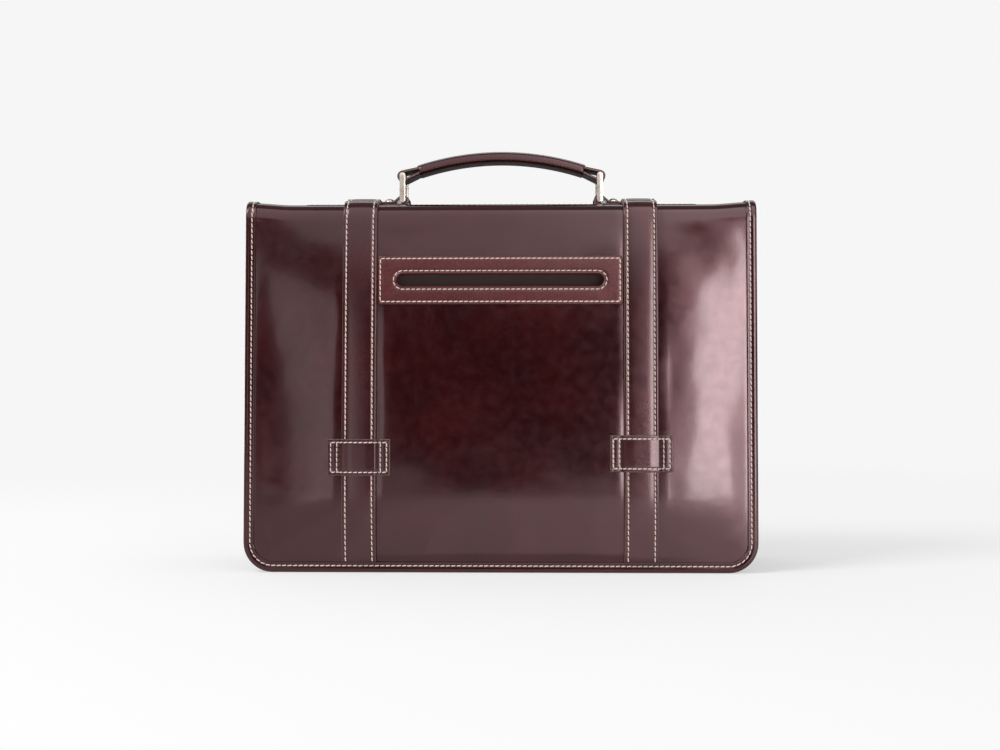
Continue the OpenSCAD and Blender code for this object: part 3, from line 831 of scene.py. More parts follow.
# Height on the front and how far a strap stands off there.
BUCKLE_COURSE = [(300, 0), (127, 0), (121, 1.35), (96, 1.35), (74, 4.15), (61, 4.15), (50, 2.1), (0, 2.1)]


def front_lift(v):
    """A front strap runs over the flap's binding, behind the buckle's far bar and over its heel."""
    for (high_v, high), (low_v, low) in zip(BUCKLE_COURSE, BUCKLE_COURSE[1:]):
        if v >= low_v:
            return low + (high - low) * ease((v - low_v) / (high_v - low_v))
    return BUCKLE_COURSE[-1][1]


def strap_piece(name, side, rows, lift, half_at, carrier, nodes, holes=()):
    """Strap that follows the shell, half_at(s) wide each side, with rows and columns at its holes."""
    lines = [x for _, _, half_u, _, _ in holes for x in (-half_u, -half_u / 2, 0, half_u / 2, half_u)]
    clear = [x for x in near_edges(STRAP_HALF, STRAP_SEAM, 2.6) if all(abs(x - y) > 0.5 for y in lines)]

    def place(u, s, w):
        x = side * STRAP_X + u / STRAP_HALF * half_at(s)
        return shell(x, s, w + lift(s) + rise(x, s))

    # The two outer columns of the top take the edge paint: a painted highlight along the strap's rounded
    # edges.
    piece = sheet(name, merge(clear, lines), rows, place, lambda u, s: strap_height(u), lambda u, s: 0.0,
                  [STRAP, EDGE, SUEDE], holes, edging=(2, 0))
    attach(piece, carrier, "strap_leather", *nodes)
    return place


def strap_courses(place, rows):
    """The two seams along a strap."""
    line = STRAP_HALF - STRAP_SEAM
    return [seam_points(place, lambda u, s: strap_height(line), [(x, s) for s in rows])
            for x in (-line, line)]


def rear_straps():
    """Straps from under the bottom binding up the rear and over to the middle of the top."""
    rows = merge(spread(BINDING + 0.3, 264, 5), spread(264, S_TOP, 1.6), spread(S_TOP, S_MID, 1.9))
    for side, word in SIDES:
        nodes = ["strap_rear_" + word, "strap_top_" + word]
        if side < 0:
            nodes.append("rear_strap_folds")
        place = strap_piece("rear_strap_" + word, side, rows, strip_lift, lambda s: STRAP_HALF,
                            "rear_fold", nodes)
        stitches(f"rear_strap_{word}_stitches", strap_courses(place, rows), "rear_fold")


TIP_V = 24.0
PRONG_V = 70.4


def strap_end(s):
    """Half width of a front strap, which ends in a soft point."""
    v = flap_height(s)
    from_tip = clamp((v - TIP_V) / 13, 0.0, 1.0)
    return STRAP_HALF * max(0.04, 1 - (1 - from_tip) ** 1.9)


def to_slot(half_u, half_s):
    """Draws a hole's rim onto a slot with round ends, centred on the hole."""
    def shape_at(cu, cs):
        def shape(du, ds):
            straight = half_s - half_u
            end = clamp(ds, -straight, straight)
            out = Vector((du, ds - end))
            if out.length < 1e-6:
                out = Vector((du or 1e-6, 0))
            out = out.normalized() * half_u
            return cu + out.x, cs + end + out.y
        return shape
    return shape_at


def strap_holes():
    """The prong's long hole and two spare round ones, as cuts."""
    holes = []
    for v, half_u, half_s in ((PRONG_V, 2.3, 5.2), (55, 2.4, 2.4), (45, 2.4, 2.4)):
        shape = to_slot(half_u, half_s)(0, flap_s(v))
        holes.append((0, flap_s(v), half_u + 0.5, half_s + 0.6, shape))
    return holes


def front_straps():
    """Straps from the middle of the top over the flap and through the buckles to their tips."""
    tip_s = flap_s(TIP_V)
    holes = strap_holes()
    lines = []
    for _, cs, _, hs, _ in holes:
        lines += [cs - hs, cs - hs / 2, cs, cs + hs / 2, cs + hs]
    plain = merge(spread(S_MID, S_TOP_END, 1.9), spread(S_TOP_END, S_FRONT + 6, 1.6),
                  spread(S_FRONT + 6, flap_s(130), 5), spread(flap_s(130), flap_s(37), 2.2),
                  spread(flap_s(37), tip_s, 0.8))
    rows = merge([s for s in plain if all(abs(s - x) > 0.7 for x in lines)], lines)
    seam_rows = [s for s in rows if s < flap_s(TIP_V + 14)]

    def lift(s):
        return strip_lift(s) + front_lift(flap_height(s)) * (s > S_FRONT)

    for side, word in SIDES:
        nodes = ["strap_front_" + word]
        if side < 0:
            nodes.append("front_strap_folds")
        place = strap_piece("front_strap_" + word, side, rows, lift, strap_end, "front_fold", nodes, holes)
        stitches(f"front_strap_{word}_stitches", strap_courses(place, seam_rows), "front_fold")


# ---- Keepers on the rear ----

KEEPER_HALF = (24.5, 14.25)
KEEPER_T = 2.2
KEEPER_SEAM = (2.7, 2.75)
KEEPER_INNER_SEAM = 17
KEEPER_V = {"left": 89.5, "right": 92.5}


def keepers():
    """Belt-loop keepers over the rear straps, the right one a little higher."""
    rows = near_edges(KEEPER_HALF[1], KEEPER_SEAM[1], 3)
    cols = merge(near_edges(KEEPER_HALF[0], KEEPER_SEAM[0], 2.4), spread(-16, 16, 1.2),
                 [x for d in (16.5, 17, 17.5, 17.9) for x in (-d, d)])

    def bridge(u):
        return (STRAP_T + 0.35) * ease((STRAP_HALF + 3.0 - abs(u)) / 3.4)

    def top(u, s):
        d_u, d_s = KEEPER_HALF[0] - abs(u), KEEPER_HALF[1] - abs(s)
        inner = bell(abs(u), KEEPER_INNER_SEAM, 0.55) * (d_u > 4)
        dips = bell(d_u, KEEPER_SEAM[0], 0.55) + inner + bell(d_s, KEEPER_SEAM[1], 0.55)
        crown = 0.35 * ease((STRAP_HALF - abs(u)) / 8)
        return bridge(u) + KEEPER_T + crown - edge_drop(min(d_u, d_s), 0.9) - 0.3 * min(dips, 1)

    line_u, line_s = KEEPER_HALF[0] - KEEPER_SEAM[0], KEEPER_HALF[1] - KEEPER_SEAM[1]
    across = spread(-line_u, line_u, 1.5)
    up = spread(-line_s, line_s, 2)
    seams = [[(u, x) for u in across] for x in (-line_s, line_s)]
    seams += [[(x, s) for s in up] for x in (-line_u, -KEEPER_INNER_SEAM, KEEPER_INNER_SEAM, line_u)]
    for side, word in SIDES:
        def place(u, s, w):
            return on_shell(side * STRAP_X + u, KEEPER_V[word] + s, w)

        # The two outer columns and rows of the top take the edge paint: a painted highlight along the
        # keeper's rounded edges.
        piece = sheet("keeper_" + word + "_leather", cols, rows, place, top,
                      lambda u, s: bridge(u) + 0.02, [STRAP, EDGE, SUEDE], edging=(2, 2))
        attach(piece, "case", "strap_leather", "keeper_" + word)
        courses = [seam_points(place, top, seam) for seam in seams]
        stitches("keeper_" + word + "_stitches", courses, "case", 4.0)


# ---- Rear pocket ----

FACING_HALF = (95.5, 19.0)
FACING_T = 1.8
FACING_SEAM = 2.1
LIP_SEAM = 2.5


def slot_ring():
    """Points round the slot's rim, each with the way from there to the facing's edge."""
    straight = SLOT_HALF - SLOT_R
    pairs = []
    for side in (1, -1):
        for u in spread(-side * straight, side * straight, 4)[:-1]:
            pairs.append(((u, side * SLOT_R), (0, side)))
        for k in range(28):
            a = side * math.pi / 2 - math.pi * k / 28
            pairs.append(((side * straight + SLOT_R * math.cos(a), SLOT_R * math.sin(a)),
                          (math.cos(a), math.sin(a))))
    return pairs


def pocket_facing():
    """Facing sewn round the slot, with a raised lip at the slot and seams at the lip and the border."""
    half_u, half_v = FACING_HALF
    inner = [0, 0.12, 0.4, 0.85, 1.4, 1.9, LIP_SEAM - 0.3, LIP_SEAM, LIP_SEAM + 0.3, 3.3]
    outer = [3.4, 2.9, FACING_SEAM + 0.3, FACING_SEAM, FACING_SEAM - 0.4, 1.2, 0.7, 0.3, 0.08, 0]
    pairs = slot_ring()
    tops, bottoms = [], []
    for (u, v), (du, dv) in pairs:
        reach_u = (half_u - abs(u)) / abs(du) if abs(du) > 1e-6 else 1e9
        reach_v = (half_v - abs(v)) / abs(dv) if abs(dv) > 1e-6 else 1e9
        reach = min(reach_u, reach_v)
        slant = abs(du) if reach_u < reach_v else abs(dv)
        stops = inner + [3.3 + (reach - 3.4 / slant - 3.3) * k / 5 for k in range(1, 5)]
        stops += [reach - d / slant for d in outer]
        for d in stops:
            x, y = u + du * d, v + dv * d
            d_out = min(half_u - abs(x), half_v - abs(y))
            lip = 0.75 * bell(d, 1.0, 1.0)
            low = 0.3 * bell(d, LIP_SEAM, 0.5) + 0.3 * bell(d_out, FACING_SEAM, 0.5)
            uneven = 0.1 * wander(x, y, 9, 4.4)
            top = FACING_T + lip - low + uneven * ease(d / 4) - edge_drop(d_out, 0.8) - edge_drop(d, 0.7)
            deep = -3.2 if d == 0 else (-0.6 if d < 1 else 0.0)
            tops.append(on_shell(x, SLOT_V + y, top))
            bottoms.append(on_shell(x, SLOT_V + y, deep))
    rings = len(inner) + 4 + len(outer)
    count = len(pairs)
    points = tops + bottoms
    lower = len(tops)
    faces, marks = [], []
    for k in range(count):
        n = (k + 1) % count
        for i in range(rings - 1):
            ring = [k * rings + i, n * rings + i, n * rings + i + 1, k * rings + i + 1]
            faces.append(ring)
            faces.append([lower + x for x in reversed(ring)])
            marks += [0, 0]
        for i in (0, rings - 1):
            faces.append([k * rings + i, n * rings + i, lower + n * rings + i, lower + k * rings + i])
            marks.append(0 if i == 0 else 1)
    piece = add("pocket_facing_leather", points, faces, [FACING, EDGE], marks)
    attach(piece, "case", "strap_leather", "pocket_facing")

    def flat(u, v, w):
        return on_shell(u, SLOT_V + v, w)

    seam_u, seam_v = half_u - FACING_SEAM, half_v - FACING_SEAM
    border = [[(u, side * seam_v) for u in spread(-seam_u, seam_u, 4)] for side in (-1, 1)]
    border += [[(side * seam_u, v) for v in spread(-seam_v, seam_v, 4)] for side in (-1, 1)]
    ring = [(u + du * LIP_SEAM, v + dv * LIP_SEAM) for (u, v), (du, dv) in pairs]
    courses = [seam_points(flat, lambda u, v: FACING_T - 0.3, course)
               for course in border + [ring + ring[:1]]]
    stitches("pocket_stitches", courses, "case", 4.1)


def pocket_liner():
    """Cotton pouch sewn to the inside of the rear panel."""
    half, low, high, rim = 103.0, 70.0, 244.0, 12

    def fine_ends(a, b):
        return merge(spread(a, a + rim, 1.6), spread(a + rim, b - rim, 6), spread(b - rim, b, 1.6))

    def top(u, s):
        edge = min(half - abs(u), s - low, high - s)
        hang = 0.5 * wander(u, s, 30, 9.2) + 0.2 * wander(u, s, 11, 2.2)
        return -LEATHER - 0.7 - (6.6 + hang) * ease((edge - 3) / 24) ** 0.8

    piece = sheet("pocket_liner_cloth", fine_ends(-half, half), fine_ends(low, high), on_shell, top,
                  lambda u, s: top(u, s) - 0.8, [POCKET])
    attach(piece, "case", "lining", "pocket_liner")


# ---- Gussets and base ----

GUSSET_X = 191.25
GUSSET_T = 1.5
GUSSET_TOP = 267.0
CORNER_Z = 26.0
BASE_Z = 8.25
BASE_R = 14.75
FOLD_DEPTH = 17.5
SEWN_W = LEATHER + 0.75


def wall_route(s):
    """(x, z, outward x, outward z) at s along the gusset: down the left, across, up the right."""
    leg = GUSSET_TOP - (BASE_Z + BASE_R)
    turn = BASE_R * math.pi / 2
    flat = 2 * (GUSSET_X - BASE_R)
    if s < leg:
        return -GUSSET_X, GUSSET_TOP - s, -1, 0
    if s < leg + turn:
        a = (s - leg) / BASE_R
        return (-GUSSET_X + BASE_R * (1 - math.cos(a)), BASE_Z + BASE_R * (1 - math.sin(a)),
                -math.cos(a), -math.sin(a))
    if s < leg + turn + flat:
        return -GUSSET_X + BASE_R + s - leg - turn, BASE_Z, 0, -1
    x, z, out_x, out_z = wall_route(2 * leg + 2 * turn + flat - s)
    return -x, z, -out_x, out_z


WALL_LENGTH = 2 * (GUSSET_TOP - BASE_Z - BASE_R) + math.pi * BASE_R + 2 * (GUSSET_X - BASE_R)
SHOULDER_S = GUSSET_TOP - CORNER_Z


def wall(c, s, w):
    """Point of the gusset: c is -1 and 1 at its sewn edges, and beyond them on the turned flanges."""
    x, z, out_x, out_z = wall_route(s)
    depth = BASE_HALF - SEWN_W / COS - z * TAN
    across = clamp(abs(c))
    high = clamp((z - CORNER_Z) / (GUSSET_TOP - CORNER_Z))
    soft = 0.1
    valley = 1 - (math.hypot(across, soft) - soft) / (math.hypot(1, soft) - soft)
    bow = 2.4 * math.sin(math.pi * across) * high ** 0.5
    sag = 0.5 * wander(c * 30, s, 34, 5.5) * ease((1 - across) * 6)
    inward = FOLD_DEPTH * high * valley - bow * 0.6 + sag * ease(high * 8)
    flange = max(0.0, abs(c) - 1) * 60
    out = -inward + flange + w
    turned = math.copysign(depth * across + 0.3 * (flange > 0), c)
    return Vector((x + out_x * out, CENTRE_Y + turned, z + out_z * out))


def gusset_walls():
    """Gussets and base, one strip of leather with hemmed and stitched ends at the top."""
    cols = merge([-1.1, -1.05], spread(-1, -0.9, 0.035), spread(-0.9, 0.9, 0.075), spread(-0.14, 0.14, 0.028),
                 spread(0.9, 1, 0.035), [1.05, 1.1])
    hem = 9.0

    def top(c, s):
        edge = min(s, WALL_LENGTH - s)
        fold_over = 0.7 * ease((hem - edge) / 1.5) - edge_drop(edge, 0.7)
        return GUSSET_T / 2 + fold_over

    side_rows = merge([0.15, 0.45, 0.8], [hem - 1.5, hem - 0.8, hem, hem + 0.6], spread(0, SHOULDER_S, 4.5))
    base_rows = merge(spread(SHOULDER_S, SHOULDER_S + 30, 1.8),
                      spread(SHOULDER_S + 30, WALL_LENGTH - SHOULDER_S - 30, 5),
                      spread(WALL_LENGTH - SHOULDER_S - 30, WALL_LENGTH - SHOULDER_S, 1.8))
    groups = {
        "gusset_left_leather": (side_rows, "gusset_left"),
        "base_leather": (base_rows, "base_panel"),
        "gusset_right_leather": ([WALL_LENGTH - s for s in reversed(side_rows)], "gusset_right"),
    }
    for name, (rows, node) in groups.items():
        piece = sheet(name, cols, rows, wall, top, lambda c, s: -GUSSET_T / 2, SKIN)
        attach(piece, "case", "shell_leather", node)
    for word, near in (("left", 0), ("right", WALL_LENGTH)):
        s = abs(near - hem + 2)
        course = seam_points(wall, top, [(c, s) for c in spread(-0.94, 0.94, 0.04)])
        stitches(f"gusset_{word}_stitches", [course], "case")


def flat_board(name, half_x, half_y, centre_y, z_low, z_high, material, carrier, slot, *nodes):
    """Stiff board with rounded edges and corners, covered in cloth."""
    def ring_cols(half):
        edges = [x for d in (0, 0.15, 0.45, 1) for x in (d - half, half - d)]
        return merge(edges, spread(2 - half, half - 2, 9))

    def place(u, s, w):
        return Vector((u, centre_y + s, w))

    def swell(u, s):
        return edge_drop(min(half_x - abs(u), half_y - abs(s)), 0.9)

    piece = sheet(name, ring_cols(half_x), ring_cols(half_y), place,
                  lambda u, s: z_high - swell(u, s), lambda u, s: z_low + swell(u, s), [material])
    return attach(piece, carrier, slot, *nodes)


def divider():
    """Middle wall of the case: lined leather with a bound and stitched upper edge."""
    low, high = 11.3, 225.0

    def half(z):
        foot = GUSSET_X - 1.5 - 1.3
        if z < CORNER_Z + 4:
            return foot - 15 * (1 - ease((z - low) / (CORNER_Z + 4 - low)))
        return foot - FOLD_DEPTH * (z - CORNER_Z) / (GUSSET_TOP - CORNER_Z) - 1.2

    cols = merge([-1, -0.997, -0.99, 0.99, 0.997, 1], spread(-0.97, 0.97, 0.05))
    rows = merge(spread(low, 34, 2.5), spread(34, high - 12, 9), [high - 11, high - 10.4, high - 10],
                 spread(high - 9, high - 2, 2), [high - 1, high - 0.5, high - 0.15, high])

    def thick(c, z):
        bound = 0.55 * ease((z - high + 11) / 0.8)
        return 1.0 + bound - edge_drop(high - z, 1.2) - 0.2 * bell(high - z, 7, 0.7)

    def place(c, z, w):
        x = c * half(z)
        lean = 0.8 * wander(x, z, 90, 6.1) * ease((z - low) / 60)
        return Vector((x, CENTRE_Y + lean - w, z))

    piece = sheet("divider_leather", cols, rows, place, thick, lambda c, z: -thick(c, z),
                  [LINING, BIND, LINING])
    for face in piece.data.polygons:
        if face.center.z > (high - 10.7) * MM:
            face.material_index = 1
    attach(piece, "case", "lining", "divider")
    seam_z = high - 7
    spots = [(c, seam_z) for c in spread(-0.97, 0.97, 0.03)]
    courses = []
    for sign in (1, -1):
        course = seam_points(place, lambda c, z: sign * thick(0, seam_z), spots)
        courses.append([(p, n * sign) for p, n in course])
    stitches("divider_stitches", courses, "case")


# ---- Top strip ----

def top_strip():
    """Reinforcement strip along the top, with rounded corners and a dark seam that the straps cover."""
    half_x, half_y = STRIP_HALF
    seam = 2.8
    cols = near_edges(half_x, seam, 6)
    rows = near_edges(half_y, seam, 4)

    def top(u, s):
        d_u, d_s = half_x - abs(u), half_y - abs(s)
        dips = max(bell(d_u, seam, 0.5) * (d_s > seam), bell(d_s, seam, 0.5) * (d_u > seam))
        return STRIP_T - edge_drop(min(d_u, d_s), 0.7) - 0.25 * dips

    def place(u, s, w):
        corner = 3.0
        d_u, d_s = half_x - abs(u), half_y - abs(s)
        if d_u < corner and d_s < corner:
            out = Vector((corner - d_u, corner - d_s))
            reach = max(out)
            if out.length > 1e-6:
                out = out.normalized() * reach
            u = math.copysign(half_x - corner + out.x, u)
            s = math.copysign(half_y - corner + out.y, s)
        return Vector((u, TOP_Y + s, BODY_H + w))

    piece = sheet("top_strip_leather", cols, rows, place, top, lambda u, s: 0.05,
                  [STRAP, UNDERSIDE, SUEDE], edging=(4, 4))
    attach(piece, "top", "strap_leather", "top_strip")
    line_x, line_y = half_x - seam, half_y - seam
    gaps = [(-line_x, -STRAP_X - 14), (-STRAP_X + 14, STRAP_X - 14), (STRAP_X + 14, line_x)]
    courses = [[(u, y) for u in spread(a, b, 4)] for y in (-line_y, line_y) for a, b in gaps]
    courses += [[(x, y) for y in spread(-line_y, line_y, 4)] for x in (-line_x, line_x)]
    stitches("top_strip_stitches", [seam_points(place, top, course) for course in courses], "top",
             thread=DARK_THREAD)


# ---- Leather that wraps a bar ----

def around(first, centre, r, last, turn):
    """Route in a plane: in from first, round a circle (turn 1 anticlockwise, -1 clockwise), out to last."""
    def angle_and_slack(p):
        reach = math.hypot(p[0] - centre[0], p[1] - centre[1])
        return math.atan2(p[1] - centre[1], p[0] - centre[0]), math.acos(clamp(r / reach))

    a, slack_a = angle_and_slack(first)
    b, slack_b = angle_and_slack(last)
    begin, end = a + turn * slack_a, b - turn * slack_b
    while (end - begin) * turn < 0.2:
        end += turn * 2 * math.pi
    count = 18
    bend = [begin + (end - begin) * k / count for k in range(count + 1)]
    return [first] + [(centre[0] + r * math.cos(t), centre[1] + r * math.sin(t)) for t in bend] + [last]


def resample(route, step):
    """The same route with points about step apart, and its unit normals."""
    found = [route[0]]
    for a, b in zip(route, route[1:]):
        count = max(1, round(math.dist(a, b) / step))
        found += [(a[0] + (b[0] - a[0]) * k / count, a[1] + (b[1] - a[1]) * k / count)
                  for k in range(1, count + 1)]
    for _ in range(2):
        found = [found[0]] + [((a[0] + 2 * b[0] + c[0]) / 4, (a[1] + 2 * b[1] + c[1]) / 4)
                              for a, b, c in zip(found, found[1:], found[2:])] + [found[-1]]
    normals = []
    for k in range(len(found)):
        a, b = found[max(0, k - 1)], found[min(len(found) - 1, k + 1)]
        run = math.dist(a, b)
        normals.append((-(b[1] - a[1]) / run, (b[0] - a[0]) / run))
    return found, normals


ROUTE_STEP = 1.1


def band(name, route, to_space, half, thick, materials, carrier, slot, nodes=(), cut=(), turn=1):
    """Leather band of a given half width that follows a route in a plane.

    to_space(u, p, q) sets a point of it in place. thick(k) is its thickness at share k of the route.
    """
    points, normals = resample(route, ROUTE_STEP)
    last = len(points) - 1
    rows = list(range(len(points)))
    cols = near_edges(half, 2.4, 3)
    for cu, _, hu, _, _ in cut:
        cols = merge([x for x in cols if abs(abs(x - cu) - hu) > 0.4], [cu - hu, cu + hu])

    def place(u, s, w):
        p, n = points[s], normals[s]
        return to_space(u, p[0] + n[0] * w * turn, p[1] + n[1] * w * turn)

    def top(u, s):
        return thick(s / last) / 2 - edge_drop(half - abs(u), 0.5)

    def bottom(u, s):
        return -thick(s / last) / 2 + edge_drop(half - abs(u), 0.3)

    piece = sheet(name, cols, rows, place, top, bottom, materials, cut)
    attach(piece, carrier, slot, *nodes)


LOW_BAR = (79.5, 294.9)
HIGH_BAR = (79.5, 314.4)
BAR_WRAP_R = 3.55
TAB_HALF = 12.0
TAIL_X = 95.6


def handle_tabs():
    """Leather tabs wrapped round the links' lower bars and riveted to the top."""
    foot, head = (TAIL_X, STRIP_Z + 1.0), (TAIL_X, STRIP_Z + 2.75)
    wrap = around(foot, LOW_BAR, BAR_WRAP_R, head, -1)[1:-1]
    route = [foot, (86, STRIP_Z + 1.05)] + wrap + [(87, STRIP_Z + 3.1), (TAIL_X, STRIP_Z + 2.8)]
    for side, word in SIDES:
        def to_space(u, p, q, side=side):
            return Vector((side * p, TOP_Y + u, q))

        def thick(k):
            return 1.75 + 0.6 * bell(k, 0.5, 0.2)

        band("handle_tab_" + word + "_leather", route, to_space, TAB_HALF, thick, [STRAP, EDGE, STRAP],
             "top", "strap_leather", ["handle_tab_" + word])


# ---- Handle grip ----

GRIP_R = 215.1
GRIP_MID_Z = 114.8
GRIP_TURN = math.asin(67 / GRIP_R)


def grip_section(share):
    """Section of the padded grip: a full upper cover sewn to a thinner under layer at a pinched seam."""
    half, up, down = 12.9, 4.9, 4.5
    seam_w, lip = -2.3, 0.35
    end = 1 - 0.05 * ease((abs(share) - 0.985) / 0.015)
    cover_w = seam_w + lip
    points = []
    for k in range(25):
        a = math.pi * k / 24
        x = math.cos(a)
        z = math.sin(a) ** 0.62
        points.append((half * end * math.copysign(abs(x) ** 0.8, x), cover_w + (up - seam_w - lip) * end * z))
    points.append((-half * end + 0.55, seam_w))
    for k in range(17):
        a = math.pi * k / 16
        x = -math.cos(a)
        z = math.sin(a) ** 0.5
        points.append((half * 0.985 * end * math.copysign(abs(x) ** 0.75, x),
                       seam_w - lip - (down + seam_w - lip) * end * z))
    points.append((half * end - 0.55, seam_w))
    return points


def handle_grip():
    """Padded grip on its arc, and the loops that hold it on the links' upper bars."""
    shares = merge(spread(-1, 1, 0.045), [-0.995, -0.985, -0.96, 0.96, 0.985, 0.995])

    def along(a, share, w):
        turn = share * GRIP_TURN
        reach = GRIP_R + w
        return Vector((math.sin(turn) * reach, TOP_Y + a, GRIP_MID_Z + math.cos(turn) * reach))

    stations = [(0, share, 1, 0) for share in shares]
    marks = [0] * 24 + [1, 1] + [2] * 16 + [1, 1]
    grip = sweep("grip_leather", stations, lambda k: grip_section(shares[k]), along,
                 [STRAP, EDGE, UNDERSIDE], marks, 50)
    attach(grip, "grip", "strap_leather", "handle_grip", "handle_core")
    wrap = around((61.5, 322.6), HIGH_BAR, BAR_WRAP_R, (61.0, 319.0), -1)[1:-1]
    route = [(61.5, 322.6), (66.8, 320.9)] + wrap + [(66.2, 317.0), (61.0, 318.8)]
    for side, word in SIDES:
        def to_space(u, p, q, side=side):
            return Vector((side * p, TOP_Y + u, q))

        band("grip_loop_" + word, route, to_space, TAB_HALF - 0.2,
             lambda k: 1.9 + 0.35 * bell(k, 0.5, 0.3), [UNDERSIDE, EDGE, UNDERSIDE], "grip", "strap_leather")


# ---- Buckle tabs and loops ----

HEEL = (68.0, 5.0)


def buckle_tabs():
    """Leather tabs that wrap the buckles' heel bars, notched for the prongs."""
    route = around((24.3, 4.1), HEEL, 2.9, (24.3, 5.7), -1)
    points, _ = resample(route, ROUTE_STEP)
    bend = [k for k, p in enumerate(points) if p[0] > HEEL[0] - 3.4]
    notch = [(0, (bend[0] + bend[-1]) / 2, 3.0, (bend[-1] - bend[0]) / 2, None)]
    seam = [p for k, p in enumerate(points) if 27 < p[0] < 62 and k > (len(points) - 1) / 2]
    outward = front(0, 0, 1) - front(0, 0, 0)
    for side, word in SIDES:
        def to_space(u, p, q, side=side):
            return front(side * STRAP_X + u, p, q)

        band("buckle_tab_" + word + "_leather", route, to_space, 12.5, lambda k: 1.55, [STRAP, EDGE, STRAP],
             "flap", "strap_leather", ["buckle_tab_" + word], notch)
        courses = [[(to_space(x, p, q + 0.78), outward) for p, q in seam] for x in (-10.1, 10.1)]
        stitches("buckle_tab_" + word + "_stitches", courses, "flap", 4.0)


def strap_loops():
    """Leather loops under the buckles that hold the straps' tips."""
    half_u, half_w, r = 15.0, 4.35, 3.0
    middle_v, middle_w = 47.5, 6.7
    ring = []
    for k, (cu, cw) in enumerate([(1, 1), (-1, 1), (-1, -1), (1, -1)]):
        for n in range(7):
            a = math.pi / 2 * (k + n / 6)
            ring.append((cu * (half_u - r) + r * math.cos(a), cw * (half_w - r) + r * math.sin(a)))
    path = []
    for a, b in zip(ring, ring[1:] + ring[:1]):
        path += [Vector(a), Vector((a[0] + b[0], a[1] + b[1])) / 2]
    count = len(path)
    for side, word in SIDES:
        def place(v, k, w):
            p = path[k % count]
            ahead, behind = path[(k + 1) % count], path[(k - 1) % count]
            run = (ahead - behind).normalized()
            out = Vector((run.y, -run.x))
            q = p + out * w
            return front(side * STRAP_X + q.x, middle_v + v, middle_w + q.y)

        cols = near_edges(4.5, 1.6, 2)
        piece = sheet("strap_loop_" + word + "_leather", cols, list(range(count)), place,
                      lambda v, k: 0.75 - edge_drop(4.5 - abs(v), 0.5), lambda v, k: -0.75,
                      [STRAP, EDGE, SUEDE], closed=True)
        attach(piece, "flap", "strap_leather", "strap_loop_" + word)


# ---- Ring tabs ----

def ring_tabs():
    """Riveted and stitched tabs that hold the shoulder-strap rings on the gussets."""
    ring = (186.0, 264.0)
    back = 180.1
    low_z, high_z = 228.4, 255
    wrap = around((back + 0.7, 256), ring, 2.7, (back + 2.2, 256), -1)[1:-1]
    route = [(back + 0.7, low_z), (back + 0.7, high_z)] + wrap + [(back + 2.0, high_z), (back + 1.95, low_z)]
    points, _ = resample(route, ROUTE_STEP)
    spots = [p for k, p in enumerate(points) if k > len(points) / 2 and 231 < p[1] < 253]
    for side, word in SIDES:
        def to_space(u, p, q, side=side):
            return Vector((side * p, CENTRE_Y + u, q))

        band("ring_tab_" + word + "_leather", route, to_space, 8, lambda k: 1.2 + 0.4 * bell(k, 0.5, 0.15),
             [STRAP, EDGE, SUEDE], "case", "strap_leather", ["ring_tab_" + word])
        courses = [[(to_space(x, p + 0.6, q), Vector((side, 0, 0))) for p, q in spots] for x in (-5.8, 5.8)]
        stitches("ring_tab_" + word + "_stitches", courses, "case", 3.8)


# ---- Metal ----

def metal_parts():
    """The CAD fittings keep their shape; their edges are eased and they get the nickel finish."""
    soft_edges = ("link_left", "link_right", "handle_rivets", "ring_rivets", "snap_sockets", "snap_studs",
                  "buckle_left", "buckle_right", "prong_left", "prong_right", "d_ring_left", "d_ring_right")
    for node in soft_edges:
        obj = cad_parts[node]
        obj.data.materials.clear()
        obj.data.materials.append(METAL)
        weld = obj.modifiers.new("weld", "WELD")
        weld.merge_threshold = 0.00001
        ease_edges = obj.modifiers.new("ease_edges", "BEVEL")
        ease_edges.width = 0.00035
        ease_edges.segments = 2
        ease_edges.limit_method = "ANGLE"
        ease_edges.angle_limit = math.radians(50)
        obj.data.shade_smooth()


# ---- Studio ----

def camera():
    """The rear seen square on from just above its middle, with a 51 mm lens."""
    lens = bpy.data.cameras.new("camera")
    lens.lens = 50.98
    lens.sensor_width = 36
    lens.clip_start = 0.05
    lens.clip_end = 60
    obj = bpy.data.objects.new("camera", lens)
    obj.location = (0.023, -1.158, 0.1535)
    obj.rotation_euler = (math.pi / 2, 0, math.radians(1.2))
    bpy.context.scene.collection.objects.link(obj)
    bpy.context.scene.camera = obj


def softbox(name, place, aim, size, glow, lights_surfaces=True):
    """Rectangular lamp of a given brightness, which may be one that only gloss shows."""
    lamp = bpy.data.lights.new(name, "AREA")
    lamp.shape = "RECTANGLE"
    lamp.size, lamp.size_y = size
    lamp.energy = glow * math.pi * size[0] * size[1]
    obj = bpy.data.objects.new(name, lamp)
    obj.location = place
    obj.rotation_euler = (Vector(aim) - Vector(place)).to_track_quat("-Z", "Y").to_euler()
    obj.visible_camera = False
    obj.visible_diffuse = lights_surfaces
    bpy.context.scene.collection.objects.link(obj)


PAPER = 0.922
FLOOR_TONE = 0.58
FLOOR_GLOW = 0.45
FLOOR_REACH = 14.0
ROOM_GLOW = 0.76
WHITE = (1, 1, 1, 1)


def grey(tone):
    return (tone, tone, tone, 1)


def either(tree, share, first, second):
    """One shader fading into another."""
    node = add_node(tree, "MixShader")
    for socket, output in zip(node.inputs, (share, first, second)):
        tree.links.new(output, socket)
    return node.outputs[0]


